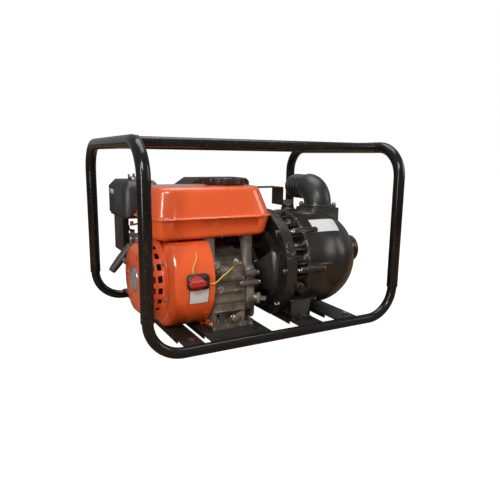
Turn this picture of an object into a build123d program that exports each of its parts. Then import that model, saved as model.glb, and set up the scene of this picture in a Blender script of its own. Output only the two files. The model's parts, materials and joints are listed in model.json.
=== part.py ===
"""Gas engine trash pump: a small petrol engine and a self-priming pump in a tube frame.

Millimetres. +X runs from the recoil starter to the suction port, +Y from the oil filler side to the
cylinder head side, +Z up. The origin is on the floor, under the middle of the frame.
"""
from build123d import *
from math import cos, sin, tan, radians
import os

os.makedirs("parts", exist_ok=True)

# --- frame ---------------------------------------------------------------------------------------
frame_length = 655.0          # between the two hoop centrelines
frame_width = 500.0           # between the two lower rail centrelines
hoop_tube = 28.0
top_tube = 22.0
tube_wall = 2.0
spigot_clearance = 0.1        # lower rail inside the hoop post, per side
lower_tube = hoop_tube - 2 * (tube_wall + spigot_clearance)
hoop_top = 444.0              # centreline of the hoops' top run
hoop_bend = 75.0
rail_bend = 76.0
spigot_length = 30.0
top_rail_inset = 81.0         # from the lower rail's plane to the top rail
cope_clearance = 0.1

half_length = frame_length / 2
half_width = frame_width / 2
rail_z = lower_tube / 2
post_bottom = rail_z + rail_bend

# --- cross plates --------------------------------------------------------------------------------
plate_thick = 3.0
plate_flange = 8.0
plate_overhang = 3.0          # past the rail centreline
left_plate_x = -228.0
left_plate_width = 46.0
engine_plate_x = -113.5
engine_plate_width = 149.0
pump_plate_x = 71.0
pump_plate_width = 66.0
right_plate_x = 176.0
right_plate_width = 64.0
left_tab_x = -228.0
right_tab_x = 190.0
tab_width = 28.0
tab_thick = 4.0
tab_reach = 32.0
tab_bolt_inset = 19.0         # from the rail centreline to the plate bolt
plate_bottom = lower_tube
plate_top = plate_bottom + plate_thick

# --- fasteners -----------------------------------------------------------------------------------
m8 = 8.0
hole_clearance = 0.5          # on the diameter
running_clearance = 0.05      # on the radius, shafts in their bearings
body_gap = 0.5                # between a moving piece and what it passes


def hex_width(thread):
    return thread * 1.6


# --- engine --------------------------------------------------------------------------------------
crank_height = 115.0
crank_y = -93.0
crank_z = plate_top + crank_height
case_left = -157.0            # flywheel side face
case_right = -75.0            # joint to the side cover
cover_right = -46.0           # drive side face
case_wall = 8.0
base_thick = 10.0
base_right = -52.0
base_front = crank_y - 103.0
base_rear = crank_y + 105.0
case_front = crank_y - 95.0
case_rear = crank_y + 93.0
case_shoulder = crank_z + 22.0
case_top = crank_z + 60.0
chamber_radius = 60.0
sump_depth = 84.0
mount_pitch_x = 80.0
pocket_radius = 9.5           # room for an engine bolt's head
pocket_height = 24.0
mount_pitch_y = 175.0
mount_x = (case_left + base_right) / 2
mount_y = (base_front + base_rear) / 2

lean = 25.0                   # cylinder axis above the level
bore = 72.0
deck = 76.0                   # crank axis to the cylinder deck
deck_half = 50.0
barrel_length = 58.0
barrel_radius = 45.0
fin_count = 8
fin_thick = 2.4
fin_width = 100.0
head_length = 33.0
rocker_length = 27.0
rocker_width = 78.0
port_offset = 17.0            # deck of the head to the port axis
cylinder_x = (case_left + case_right) / 2 + 6
shaft_radius = 12.5
journal_radius = 17.0
web_radius = 42.0
pin_radius = 15.0
throw = 24.0
piston_length = 42.0
piston_clearance = 0.06

post_radius = 14.0
post_y = -160.0
left_post_x = -155.0
right_post_x = -58.0

# --- starter end ---------------------------------------------------------------------------------
fan_radius = 118.0
fan_front = -262.0
fan_rear = -161.0
fan_wall = 2.5
fan_round = 20.0
fan_floor = plate_top + 2.0   # flat bottom of the fan cover
fan_ceiling = 231.0           # flat top, under the tank
fan_mouth = 86.0
flywheel_radius = 82.0
flywheel_thick = 22.0
blade_count = 16
cup_radius = 38.0
recoil_face = -310.0
recoil_radius = 81.0
recoil_base_radius = 87.0
recoil_flange = 99.0
recoil_wall = 2.5
pulley_radius = 42.0
pulley_thick = 12.0
rope_radius = 2.0
rope_exit = (-302.0, -14.0, 162.0)
rope_direction = (-0.51, 0.72, 0.47)
grip_direction = (0.62, 0.0, 0.785)
grip_length = 80.0
grip_radius = 10.5
grip_reach = 22.0

# --- fuel tank -----------------------------------------------------------------------------------
tank_left = -296.0
tank_right = 12.0
tank_front = -192.0
tank_back = -14.0
tank_bottom = 236.0
tank_seam = 283.0
tank_top = 350.0
tank_corner = 46.0
seam_lip = 5.0
seam_thick = 3.0
tank_wall = 3.0
outlet_stub_x = -232.0
outlet_stub_z = 252.0
outlet_stub_radius = 5.0
outlet_stub_end = -8.0
cap_radius = 50.0
cap_x = -86.0
cap_y = -97.0
neck_radius = 26.0

# --- air cleaner and carburettor -----------------------------------------------------------------
cleaner_left = -305.0
cleaner_right = -206.0
cleaner_front = 0.0
cleaner_back = 160.0
cleaner_bottom = 266.0
cleaner_top = 356.0
cleaner_wall = 3.0
cleaner_chamfer = 17.0
cleaner_corner = 20.0
carb_length = 54.0
carb_radius = 19.0
carb_left = -286.0
bowl_radius = 21.0

# --- muffler -------------------------------------------------------------------------------------
muffler_left = -128.0
guard_left = -155.0
muffler_right = 30.0
muffler_front = 22.0
muffler_back = 108.0
muffler_bottom = 262.0
muffler_top = 346.0
guard_gap = 8.0
guard_wall = 1.6

# --- pump ----------------------------------------------------------------------------------------
pump_y = crank_y
casing_z = 155.0              # axis of the casing's drum, above the shaft
casing_radius = 126.0
casing_wall = 7.0
bolt_circle = 124.0
bolt_circle_z = 151.0
bracket_end = 14.0
back_plate_thick = 14.0
flange_radius = 136.0
flange_floor = plate_top + 3.0
casing_start = bracket_end + back_plate_thick
flange_thick = 14.0
ring_start = 78.0
ring_thick = 12.0
ring_radius = 132.0
neck_radius_outside = 112.0    # floor of the pockets between flange and ring
rib_count = 24
drum_end = 170.0
dome_end = 287.0
sleeve_end = 126.0
sleeve_radius = 9.5
sleeve_start = 60.0
port_outer = 34.0
port_bore = 27.0
suction_face = 312.0
suction_z = 165.0
discharge_x = 193.0
collar_size = 88.0
collar_top = 286.0
elbow_flange = 8.0
elbow_radius = 36.0
elbow_bend = 42.0
outlet_radius = 31.0
outlet_end = 22.0
barb_count = 4
priming_x = 122.0
priming_y = pump_y + 36.0
priming_boss = 18.0
priming_bore = 11.0
priming_top = casing_z + casing_radius + 4
drain_plug_x = 62.0
drain_plug_turn = 202.0       # about the drum's axis, from +Y towards +Z
drain_boss = 12.0
drain_bore = 7.0
drain_seat = casing_radius + 8
impeller_radius = 62.0
volute_radius = 92.0


def along(direction, distance, start=(0, 0, 0)):
    """The point that lies a distance along a direction from a start."""
    unit = Vector(*direction).normalized()
    return Vector(*start) + unit * distance


def bent_tube(points, bends, outer, wall):
    """A tube along straight runs joined by tangent arcs; solid when the wall is 0."""
    with BuildPart() as tube:
        with BuildLine() as path:
            FilletPolyline(*points, radius=bends)
        with BuildSketch(Plane(path.line @ 0, z_dir=path.line % 0)):
            Circle(outer / 2)
            if wall > 0:
                Circle(outer / 2 - wall, mode=Mode.SUBTRACT)
        sweep()
    return tube


# === frame =======================================================================================
def end_hoop(x):
    corners = [(x, -half_width, post_bottom), (x, -half_width, hoop_top)]
    corners += [(x, half_width, hoop_top), (x, half_width, post_bottom)]
    return bent_tube(corners, hoop_bend, hoop_tube, tube_wall)


hoop_left = end_hoop(-half_length)
hoop_left.part.label = "hoop_left"
export_step(hoop_left.part, "parts/hoop_left.step")

hoop_right = end_hoop(half_length)
hoop_right.part.label = "hoop_right"
export_step(hoop_right.part, "parts/hoop_right.step")


def lower_rail(side):
    """side is -1 for the front rail and 1 for the rear one. Two tabs carry the end plates."""
    y = side * half_width
    end_z = post_bottom + spigot_length
    corners = [(-half_length, y, end_z), (-half_length, y, rail_z)]
    corners += [(half_length, y, rail_z), (half_length, y, end_z)]
    tube = bent_tube(corners, rail_bend, lower_tube, tube_wall)
    tab_start = lower_tube / 4 + 0.5
    tab_y = y - side * (tab_start + tab_reach) / 2
    bolt_y = y - side * tab_bolt_inset
    with BuildPart() as rail:
        add(tube.part)
        for x in (left_tab_x, right_tab_x):
            with BuildSketch(Plane.XY.offset(plate_bottom - tab_thick)):
                with Locations((x, tab_y)):
                    Rectangle(tab_width, tab_reach - tab_start)
                with Locations((x, bolt_y)):
                    Circle((m8 + hole_clearance) / 2, mode=Mode.SUBTRACT)
            extrude(amount=tab_thick)
    return rail


lower_rail_front = lower_rail(-1)
lower_rail_front.part.label = "lower_rail_front"
export_step(lower_rail_front.part, "parts/lower_rail_front.step")

lower_rail_rear = lower_rail(1)
lower_rail_rear.part.label = "lower_rail_rear"
export_step(lower_rail_rear.part, "parts/lower_rail_rear.step")


def top_rail(side):
    """A straight tube whose ends are coped to the hoops."""
    y = side * (half_width - top_rail_inset)
    with BuildPart() as rail:
        with BuildSketch(Plane.YZ.offset(-half_length)):
            with Locations((y, hoop_top)):
                Circle(top_tube / 2)
                Circle(top_tube / 2 - tube_wall, mode=Mode.SUBTRACT)
        extrude(amount=frame_length)
        for x in (-half_length, half_length):
            with BuildSketch(Plane.XZ.offset(-y - top_tube)):
                with Locations((x, hoop_top)):
                    Circle(hoop_tube / 2 + cope_clearance)
            extrude(amount=2 * top_tube, mode=Mode.SUBTRACT)
    return rail


top_rail_front = top_rail(-1)
top_rail_front.part.label = "top_rail_front"
export_step(top_rail_front.part, "parts/top_rail_front.step")

top_rail_rear = top_rail(1)
top_rail_rear.part.label = "top_rail_rear"
export_step(top_rail_rear.part, "parts/top_rail_rear.step")


def cross_plate(x, width, holes):
    """A pressed plate on both lower rails, its long edges turned down between them."""
    flange_length = frame_width - lower_tube - 2 * tab_reach
    with BuildPart() as plate:
        with BuildSketch(Plane.XY.offset(plate_bottom)):
            with Locations((x, 0)):
                Rectangle(width, frame_width + 2 * plate_overhang)
            with Locations(*holes):
                Circle((m8 + hole_clearance) / 2, mode=Mode.SUBTRACT)
        extrude(amount=plate_thick)
        with BuildSketch(Plane.XY.offset(plate_bottom)):
            with Locations((x - (width - plate_thick) / 2, 0), (x + (width - plate_thick) / 2, 0)):
                Rectangle(plate_thick, flange_length)
        extrude(amount=-plate_flange)
    return plate


plate_bolt_y = half_width - tab_bolt_inset
engine_holes = [(mount_x + sx * mount_pitch_x / 2, mount_y + sy * mount_pitch_y / 2)
                for sx in (-1, 1) for sy in (-1, 1)]

cross_plate_left = cross_plate(left_plate_x, left_plate_width,
                               [(left_tab_x, plate_bolt_y), (left_tab_x, -plate_bolt_y)])
cross_plate_left.part.label = "cross_plate_left"
export_step(cross_plate_left.part, "parts/cross_plate_left.step")

engine_plate = cross_plate(engine_plate_x, engine_plate_width, engine_holes)
engine_plate.part.label = "engine_plate"
export_step(engine_plate.part, "parts/engine_plate.step")

foot_width = 56.0             # pump foot, along X
foot_span = 228.0             # pump foot, along Y
foot_height = 46.0
foot_lug = 18.0
foot_lug_thick = 8.0
foot_bolts = [(pump_plate_x, pump_y - (foot_span + foot_lug) / 2),
              (pump_plate_x, pump_y + (foot_span + foot_lug) / 2)]

pump_plate = cross_plate(pump_plate_x, pump_plate_width, foot_bolts)
pump_plate.part.label = "pump_plate"
export_step(pump_plate.part, "parts/pump_plate.step")

cross_plate_right = cross_plate(right_plate_x, right_plate_width,
                                [(right_tab_x, plate_bolt_y), (right_tab_x, -plate_bolt_y)])
cross_plate_right.part.label = "cross_plate_right"
export_step(cross_plate_right.part, "parts/cross_plate_right.step")


def bolts_down(places, thread, seat, grip):
    """Hex bolts with nuts, pointing down through a stack that is grip thick below the seat."""
    head = thread * 0.65
    nut = thread * 0.8
    with BuildPart() as bolts:
        with BuildSketch(Plane.XY.offset(seat)):
            with Locations(*places):
                RegularPolygon(hex_width(thread) / 2, 6, major_radius=False)
        extrude(amount=head)
        with BuildSketch(Plane.XY.offset(seat)):
            with Locations(*places):
                Circle(thread / 2)
        extrude(amount=-grip - nut - 2)
        with BuildSketch(Plane.XY.offset(seat - grip)):
            with Locations(*places):
                RegularPolygon(hex_width(thread) / 2, 6, major_radius=False)
        extrude(amount=-nut)
    return bolts


plate_bolt_places = [(x, y) for x in (left_tab_x, right_tab_x) for y in (plate_bolt_y, -plate_bolt_y)]
frame_bolts = bolts_down(plate_bolt_places, m8, plate_top, plate_thick + tab_thick)
frame_bolts.part.label = "frame_bolts"
export_step(frame_bolts.part, "parts/frame_bolts.step")

engine_fixings = bolts_down(engine_holes, m8, plate_top + base_thick, plate_thick + base_thick)
foot_fixings = bolts_down(foot_bolts, m8, plate_top + foot_lug_thick, plate_thick + foot_lug_thick)
with BuildPart() as mount_bolts:
    add(engine_fixings.part)
    add(foot_fixings.part)
mount_bolts.part.label = "mount_bolts"
export_step(mount_bolts.part, "parts/mount_bolts.step")

# === engine block ================================================================================
cylinder_plane = Plane(origin=(cylinder_x, crank_y, crank_z), x_dir=(1, 0, 0),
                       z_dir=(0, cos(radians(lean)), sin(radians(lean))))


def on_cylinder(distance, rise):
    """Y and Z of a point a distance along the cylinder and a rise above its axis."""
    y = crank_y + distance * cos(radians(lean)) - rise * sin(radians(lean))
    z = crank_z + distance * sin(radians(lean)) + rise * cos(radians(lean))
    return (y, z)


with BuildPart() as crankcase:
    with BuildSketch(Plane.YZ.offset(case_left)):
        with BuildLine():
            Polyline((case_front, plate_top), (case_rear, plate_top), (case_rear, crank_z - 24),
                     on_cylinder(deck, -deck_half), on_cylinder(deck, deck_half),
                     (case_front + 52, case_top), (case_front + 24, case_top - 12),
                     (case_front, case_shoulder), close=True)
        make_face()
    extrude(amount=case_right - case_left)
    round_edges = crankcase.edges().filter_by(Axis.X).filter_by(
        lambda e: e.center().Z > case_shoulder - 1 and e.center().Y < crank_y)
    fillet(round_edges, radius=12)
    with BuildSketch(Plane.XY.offset(plate_top)):
        with Locations((mount_x, mount_y)):
            RectangleRounded(base_right - case_left, base_rear - base_front, 8)
    extrude(amount=base_thick)
    for rib in range(4):
        with BuildSketch(Plane.XY.offset(plate_top + 38 + rib * 24)):
            with Locations(((case_left + case_right) / 2, case_front)):
                Rectangle(case_right - case_left - 6, 6)
        extrude(amount=3)
    with BuildSketch(Plane.XY.offset(case_top - 30)):
        with Locations((left_post_x, post_y)):
            Circle(post_radius)
    extrude(amount=tank_bottom - case_top + 30)
    # crank chamber and sump, open to the side cover
    with BuildSketch(Plane.YZ.offset(case_right)):
        with Locations((crank_y, crank_z)):
            Circle(chamber_radius)
        with Locations((crank_y, crank_z - sump_depth / 2)):
            Rectangle(2 * chamber_radius + 30, sump_depth)
    extrude(amount=-(case_right - case_left - case_wall), mode=Mode.SUBTRACT)
    with BuildSketch(Plane.YZ.offset(case_left)):
        with Locations((crank_y, crank_z)):
            Circle(journal_radius + running_clearance)
    extrude(amount=case_wall, mode=Mode.SUBTRACT)
    with BuildSketch(cylinder_plane):
        Circle(bore / 2)
    extrude(amount=deck + 1, mode=Mode.SUBTRACT)
    with BuildSketch(Plane.XY.offset(plate_top)):
        with Locations(*engine_holes):
            Circle((m8 + hole_clearance) / 2)
    extrude(amount=base_thick, mode=Mode.SUBTRACT)
    with BuildSketch(Plane.XY.offset(plate_top + base_thick)):
        with Locations(*engine_holes):
            Circle(pocket_radius)
    extrude(amount=pocket_height, mode=Mode.SUBTRACT)
crankcase.part.label = "crankcase"
export_step(crankcase.part, "parts/crankcase.step")

# === side cover ==================================================================================
cover_bottom = plate_top + base_thick + 1
pilot_radius = 56.0
pilot_height = 5.0
filler_start = (-58.0, -168.0, 86.0)
filler_direction = (0.8, -0.6, 0.0)
filler_radius = 13.0
filler_length = 24.0
filler_bore = 8.0

with BuildPart() as side_cover:
    with BuildSketch(Plane.YZ.offset(case_right)):
        with BuildLine():
            Polyline((case_front + 4, cover_bottom), (case_rear - 6, cover_bottom),
                     (case_rear - 6, crank_z - 28), on_cylinder(deck - 2, -deck_half + 6),
                     on_cylinder(deck - 2, deck_half - 16), (case_front + 50, case_top - 6),
                     (case_front + 4, case_shoulder - 4), close=True)
        make_face()
    extrude(amount=cover_right - case_right)
    fillet(side_cover.edges().filter_by(Axis.X), radius=14)
    fillet(side_cover.faces().sort_by(Axis.X)[-1].edges(), radius=4)
    with BuildSketch(Plane.YZ.offset(cover_right)):
        with Locations((crank_y, crank_z)):
            Circle(pilot_radius)
    extrude(amount=pilot_height)
    with BuildSketch(Plane.XY.offset(case_top - 40)):
        with Locations((right_post_x, post_y)):
            Circle(post_radius)
    extrude(amount=tank_bottom - case_top + 40)
    for y, z in ((case_front + 12, crank_z - 60), (case_front + 12, crank_z + 4), (case_rear - 20, crank_z),
                 (case_front + 56, case_top - 18), (case_rear - 16, crank_z - 60)):
        with BuildSketch(Plane.YZ.offset(case_right)):
            with Locations((y, z)):
                Circle(9)
        extrude(amount=cover_right - case_right + 3)
    with BuildSketch(Plane(origin=filler_start, z_dir=filler_direction)):
        Circle(filler_radius)
    extrude(amount=filler_length)
    # bearing chamber and the crankshaft's way out
    with BuildSketch(Plane.YZ.offset(case_right)):
        with Locations((crank_y, crank_z)):
            Circle(chamber_radius)
    extrude(amount=cover_right - case_right - case_wall, mode=Mode.SUBTRACT)
    with BuildSketch(Plane.YZ.offset(case_right)):
        with Locations((crank_y, crank_z)):
            Circle(journal_radius + running_clearance)
    extrude(amount=cover_right - case_right + pilot_height, mode=Mode.SUBTRACT)
    # room for the piston's skirt
    with BuildSketch(cylinder_plane):
        Circle(bore / 2)
    extrude(amount=deck + 1, mode=Mode.SUBTRACT)
    with BuildSketch(Plane(origin=along(filler_direction, filler_length, filler_start),
                           z_dir=filler_direction)):
        Circle(filler_bore)
    extrude(amount=-filler_length + 4, mode=Mode.SUBTRACT)
    with BuildSketch(Plane.XY.offset(cover_bottom)):
        with Locations(*engine_holes):
            Circle(pocket_radius)
    extrude(amount=pocket_height, mode=Mode.SUBTRACT)
side_cover.part.label = "side_cover"
export_step(side_cover.part, "parts/side_cover.step")

knob_plane = Plane(origin=along(filler_direction, filler_length, filler_start), x_dir=(0.6, 0.8, 0),
                   z_dir=filler_direction)
with BuildPart() as dipstick:
    with BuildSketch(knob_plane):
        Circle(filler_radius)
    extrude(amount=7)
    with BuildSketch(knob_plane.offset(7)):
        RectangleRounded(22, 6, 2.5)
    extrude(amount=14)
    with BuildSketch(knob_plane):
        Circle(filler_bore - body_gap)
    extrude(amount=-filler_length + 7)
dipstick.part.label = "dipstick"
export_step(dipstick.part, "parts/dipstick.step")

drain_x = -104.0
drain_z = plate_top + 20.5
with BuildPart() as oil_drain_bolt:
    with BuildSketch(Plane.XZ.offset(-case_front)):
        with Locations((drain_x, drain_z)):
            Circle(9)
    extrude(amount=2)
    with BuildSketch(Plane.XZ.offset(-case_front + 2)):
        with Locations((drain_x, drain_z)):
            RegularPolygon(hex_width(10) / 2, 6, major_radius=False)
    extrude(amount=7)
oil_drain_bolt.part.label = "oil_drain_bolt"
export_step(oil_drain_bolt.part, "parts/oil_drain_bolt.step")

# === cylinder, head and rocker cover =============================================================
with BuildPart() as cylinder_barrel:
    with BuildSketch(cylinder_plane.offset(deck)):
        Circle(barrel_radius)
    extrude(amount=barrel_length)
    fin_pitch = (barrel_length - fin_thick) / (fin_count - 1)
    for fin in range(fin_count):
        with BuildSketch(cylinder_plane.offset(deck + fin * fin_pitch)):
            RectangleRounded(fin_width, fin_width - 4, 18)
        extrude(amount=fin_thick)
    with BuildSketch(cylinder_plane.offset(deck)):
        Circle(bore / 2)
    extrude(amount=barrel_length, mode=Mode.SUBTRACT)
cylinder_barrel.part.label = "cylinder_barrel"
export_step(cylinder_barrel.part, "parts/cylinder_barrel.step")

head_start = deck + barrel_length
head_width = fin_width - 4
port_distance = head_start + port_offset
port_y, port_z = on_cylinder(port_distance, 0)
port_radius = 11.0
plug_radius = 7.0
head_left = cylinder_x - head_width / 2
head_right = cylinder_x + head_width / 2
plug_direction = (0, sin(radians(lean)), -cos(radians(lean)))
plug_seat = (cylinder_x + 22, *on_cylinder(port_distance + 2, -head_width / 2 + 12))

with BuildPart() as cylinder_head:
    with BuildSketch(cylinder_plane.offset(head_start)):
        RectangleRounded(head_width - 12, head_width - 12, 10)
    extrude(amount=head_length)
    for fin in range(5):
        with BuildSketch(cylinder_plane.offset(head_start + fin * (head_length - fin_thick) / 4)):
            RectangleRounded(head_width, head_width, 10)
        extrude(amount=fin_thick)
    for x in (head_left, head_right - 14):
        with BuildSketch(Plane.YZ.offset(x)):
            with Locations((port_y, port_z)):
                Circle(15)
        extrude(amount=14)
    with BuildSketch(Plane.YZ.offset(head_left)):
        with Locations((port_y, port_z)):
            Circle(port_radius)
    extrude(amount=30, mode=Mode.SUBTRACT)
    with BuildSketch(Plane.YZ.offset(head_right)):
        with Locations((port_y, port_z)):
            Circle(port_radius)
    extrude(amount=-30, mode=Mode.SUBTRACT)
    with BuildSketch(cylinder_plane.offset(head_start)):
        Circle(bore / 2 - 4)
    extrude(amount=5, mode=Mode.SUBTRACT)
    with BuildSketch(Plane(origin=plug_seat, z_dir=plug_direction)):
        Circle(13)
    extrude(amount=40, mode=Mode.SUBTRACT)
    with BuildSketch(Plane(origin=plug_seat, z_dir=plug_direction)):
        Circle(plug_radius)
    extrude(amount=-16, mode=Mode.SUBTRACT)
cylinder_head.part.label = "cylinder_head"
export_step(cylinder_head.part, "parts/cylinder_head.step")

rocker_plane = cylinder_plane.offset(head_start + head_length)
with BuildPart() as rocker_cover:
    with BuildSketch(rocker_plane):
        RectangleRounded(rocker_width + 8, rocker_width + 4, 8)
    extrude(amount=3)
    with BuildSketch(rocker_plane):
        RectangleRounded(rocker_width, rocker_width - 4, 14)
    extrude(amount=rocker_length)
    fillet(rocker_cover.faces().sort_by(Axis((0, 0, 0), rocker_plane.z_dir))[-1].edges(), radius=8)
    with BuildSketch(rocker_plane):
        RectangleRounded(rocker_width - 6, rocker_width - 10, 11)
    extrude(amount=rocker_length - 3, mode=Mode.SUBTRACT)
rocker_cover.part.label = "rocker_cover"
export_step(rocker_cover.part, "parts/rocker_cover.step")

plug_plane = Plane(origin=plug_seat, z_dir=plug_direction)
with BuildPart() as spark_plug:
    with BuildSketch(plug_plane):
        RegularPolygon(10, 6, major_radius=False)
    extrude(amount=9)
    with BuildSketch(plug_plane.offset(9)):
        Circle(5.5)
    extrude(amount=22)
    with BuildSketch(plug_plane):
        Circle(plug_radius - running_clearance)
    extrude(amount=-14)
spark_plug.part.label = "spark_plug"
export_step(spark_plug.part, "parts/spark_plug.step")

# === crank train =================================================================================
impeller_start = casing_start + 18
impeller_hub = 20.0
shaft_end = impeller_start + 20
web_gap = 15.0
web_thick = 13.0
flywheel_rear = -196.0
with BuildPart() as crankshaft:
    with BuildSketch(Plane.YZ.offset(flywheel_rear - flywheel_thick - 20)):
        with Locations((crank_y, crank_z)):
            Circle(shaft_radius)
    extrude(amount=cylinder_x - web_gap - flywheel_rear + flywheel_thick + 20)
    with BuildSketch(Plane.YZ.offset(case_left - 6)):
        with Locations((crank_y, crank_z)):
            Circle(journal_radius)
    extrude(amount=cylinder_x - web_gap - case_left + 6)
    for x in (cylinder_x - web_gap - web_thick, cylinder_x + web_gap):
        with BuildSketch(Plane.YZ.offset(x)):
            with Locations((crank_y, crank_z)):
                Circle(web_radius)
        extrude(amount=web_thick)
    pin_y = crank_y + throw * cos(radians(lean))
    pin_z = crank_z + throw * sin(radians(lean))
    with BuildSketch(Plane.YZ.offset(cylinder_x - web_gap)):
        with Locations((pin_y, pin_z)):
            Circle(pin_radius)
    extrude(amount=2 * web_gap)
    with BuildSketch(Plane.YZ.offset(cylinder_x + web_gap)):
        with Locations((crank_y, crank_z)):
            Circle(journal_radius)
    extrude(amount=cover_right + 4 - cylinder_x - web_gap)
    with BuildSketch(Plane.YZ.offset(cover_right)):
        with Locations((crank_y, crank_z)):
            Circle(shaft_radius)
    extrude(amount=shaft_end - cover_right)
crankshaft.part.label = "crankshaft"
export_step(crankshaft.part, "parts/crankshaft.step")

piston_rest = deck + barrel_length - 3
with BuildPart() as piston:
    with BuildSketch(cylinder_plane.offset(piston_rest - piston_length)):
        Circle(bore / 2 - piston_clearance)
    extrude(amount=piston_length)
    with BuildSketch(cylinder_plane.offset(piston_rest - piston_length)):
        Circle(bore / 2 - 6)
    extrude(amount=piston_length - 7, mode=Mode.SUBTRACT)
    with BuildSketch(Plane.YZ.offset(cylinder_x - bore / 2 + 3)):
        with Locations(on_cylinder(piston_rest - piston_length / 2 - 4, 0)):
            Circle(9)
    extrude(amount=bore - 6)
piston.part.label = "piston"
export_step(piston.part, "parts/piston.step")

with BuildPart() as flywheel:
    with BuildSketch(Plane.YZ.offset(flywheel_rear)):
        with Locations((crank_y, crank_z)):
            Circle(flywheel_radius)
    extrude(amount=-flywheel_thick)
    for k in range(blade_count):
        turn = 360 * k / blade_count
        with BuildSketch(Plane.YZ.offset(flywheel_rear - flywheel_thick)):
            with Locations(Location((crank_y, crank_z), turn)):
                with Locations((62, 0)):
                    Rectangle(34, 3)
        extrude(amount=-18)
    with BuildSketch(Plane.YZ.offset(flywheel_rear - flywheel_thick)):
        with Locations((crank_y, crank_z)):
            Circle(cup_radius)
            Circle(cup_radius - 3, mode=Mode.SUBTRACT)
    extrude(amount=-30)
    with BuildSketch(Plane.YZ.offset(flywheel_rear)):
        with Locations((crank_y, crank_z)):
            Circle(shaft_radius)
    extrude(amount=-flywheel_thick, mode=Mode.SUBTRACT)
flywheel.part.label = "flywheel"
export_step(flywheel.part, "parts/flywheel.step")


# === fan cover and recoil starter ================================================================
def fan_outline(inset, front, rear, rounding):
    """The fan cover's outer solid, or its inside when inset is the wall."""
    with BuildPart() as body:
        with BuildSketch(Plane.YZ.offset(rear)):
            with Locations((crank_y, crank_z)):
                Circle(fan_radius - inset)
            with Locations((crank_y, (fan_floor + fan_ceiling) / 2)):
                Rectangle(3 * fan_radius, fan_ceiling - fan_floor - 2 * inset, mode=Mode.INTERSECT)
        extrude(amount=front - rear)
        fillet(body.edges().filter_by(Axis.X), radius=16 - inset)
        fillet(body.faces().sort_by(Axis.X)[0].edges(), radius=rounding)
    return body


fan_inside = fan_outline(fan_wall, fan_front + fan_wall, fan_rear, fan_round - fan_wall)
fan_outside = fan_outline(0, fan_front, fan_rear, fan_round)
with BuildPart() as fan_cover:
    add(fan_outside.part)
    add(fan_inside.part, mode=Mode.SUBTRACT)
    with BuildSketch(Plane.YZ.offset(fan_front)):
        with Locations((crank_y, crank_z)):
            Circle(fan_mouth)
    extrude(amount=fan_wall, mode=Mode.SUBTRACT)
    # mounting tabs that reach the crankcase
    with BuildSketch(Plane.XY.offset(fan_floor)):
        with Locations(((fan_rear + case_left) / 2 - 4, crank_y - 40),
                       ((fan_rear + case_left) / 2 - 4, crank_y + 40)):
            Rectangle(case_left - fan_rear + 8, 22)
    extrude(amount=fan_wall)
    # notch that lets the tank post through the roof
    with BuildSketch(Plane.XY.offset(fan_ceiling - 20)):
        with Locations((left_post_x, post_y)):
            Circle(post_radius + 0.5)
    extrude(amount=30, mode=Mode.SUBTRACT)
fan_cover.part.label = "fan_cover"
export_step(fan_cover.part, "parts/fan_cover.step")

recoil_slot_count = 20
rope_plane = Plane(origin=along(rope_direction, -12, rope_exit), z_dir=rope_direction)
with BuildPart() as recoil_housing:
    with BuildSketch(Plane.XY):
        with BuildLine():
            Polyline((recoil_face, 0), (recoil_face, recoil_radius - 9),
                     (recoil_face + 9, recoil_radius), (fan_front - 3, recoil_base_radius),
                     (fan_front - 3, recoil_flange), (fan_front, recoil_flange),
                     (fan_front, recoil_base_radius - recoil_wall),
                     (recoil_face + 11, recoil_radius - recoil_wall),
                     (recoil_face + recoil_wall, recoil_radius - 11),
                     (recoil_face + recoil_wall, 0), close=True)
        make_face()
    revolve(axis=Axis.X)
    with BuildSketch(Plane.YZ.offset(recoil_face)):
        Circle(8)
    extrude(amount=26)
recoil_body = recoil_housing.part.moved(Location((0, crank_y, crank_z)))
with BuildPart() as recoil_housing:
    add(recoil_body)
    with BuildSketch(Plane.XY.offset(fan_ceiling)):
        with Locations(((recoil_face + fan_front) / 2, crank_y)):
            Rectangle(fan_front - recoil_face + 10, 2 * recoil_flange)
    extrude(amount=20, mode=Mode.SUBTRACT)
    for k in range(recoil_slot_count):
        turn = radians(360 * (k + 0.5) / recoil_slot_count)
        if abs(turn - radians(15)) < radians(14):
            continue
        outward = (0, cos(turn), sin(turn))
        side_plane = Plane(origin=(0, crank_y, crank_z), x_dir=(1, 0, 0), z_dir=outward)
        with BuildSketch(side_plane.offset(recoil_radius - 12)):
            with Locations((recoil_face + 20, 0), (fan_front - 13, 0)):
                RectangleRounded(10, 15, 2)
        extrude(amount=40, mode=Mode.SUBTRACT)
    for k in range(6):
        turn = 360 * k / 6
        with BuildSketch(Plane.YZ.offset(recoil_face)):
            with Locations(Location((crank_y, crank_z), turn)):
                with Locations((56, 0)):
                    RectangleRounded(22, 6, 2)
        extrude(amount=recoil_wall, mode=Mode.SUBTRACT)
    with BuildSketch(rope_plane):
        Circle(rope_radius + 5)
    extrude(amount=12)
    with BuildSketch(rope_plane):
        Circle(rope_radius + 1)
    extrude(amount=14, mode=Mode.SUBTRACT)
recoil_housing.part.label = "recoil_housing"
export_step(recoil_housing.part, "parts/recoil_housing.step")

with BuildPart() as recoil_pulley:
    with BuildSketch(Plane.YZ.offset(recoil_face + 8)):
        with Locations((crank_y, crank_z)):
            Circle(pulley_radius)
            Circle(8 + running_clearance, mode=Mode.SUBTRACT)
    extrude(amount=pulley_thick)
    with BuildSketch(Plane.YZ.offset(recoil_face + 8 + 3)):
        with Locations((crank_y, crank_z)):
            Circle(pulley_radius + 1)
            Circle(pulley_radius - 8, mode=Mode.SUBTRACT)
    extrude(amount=pulley_thick - 6, mode=Mode.SUBTRACT)
recoil_pulley.part.label = "recoil_pulley"
export_step(recoil_pulley.part, "parts/recoil_pulley.step")

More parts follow.
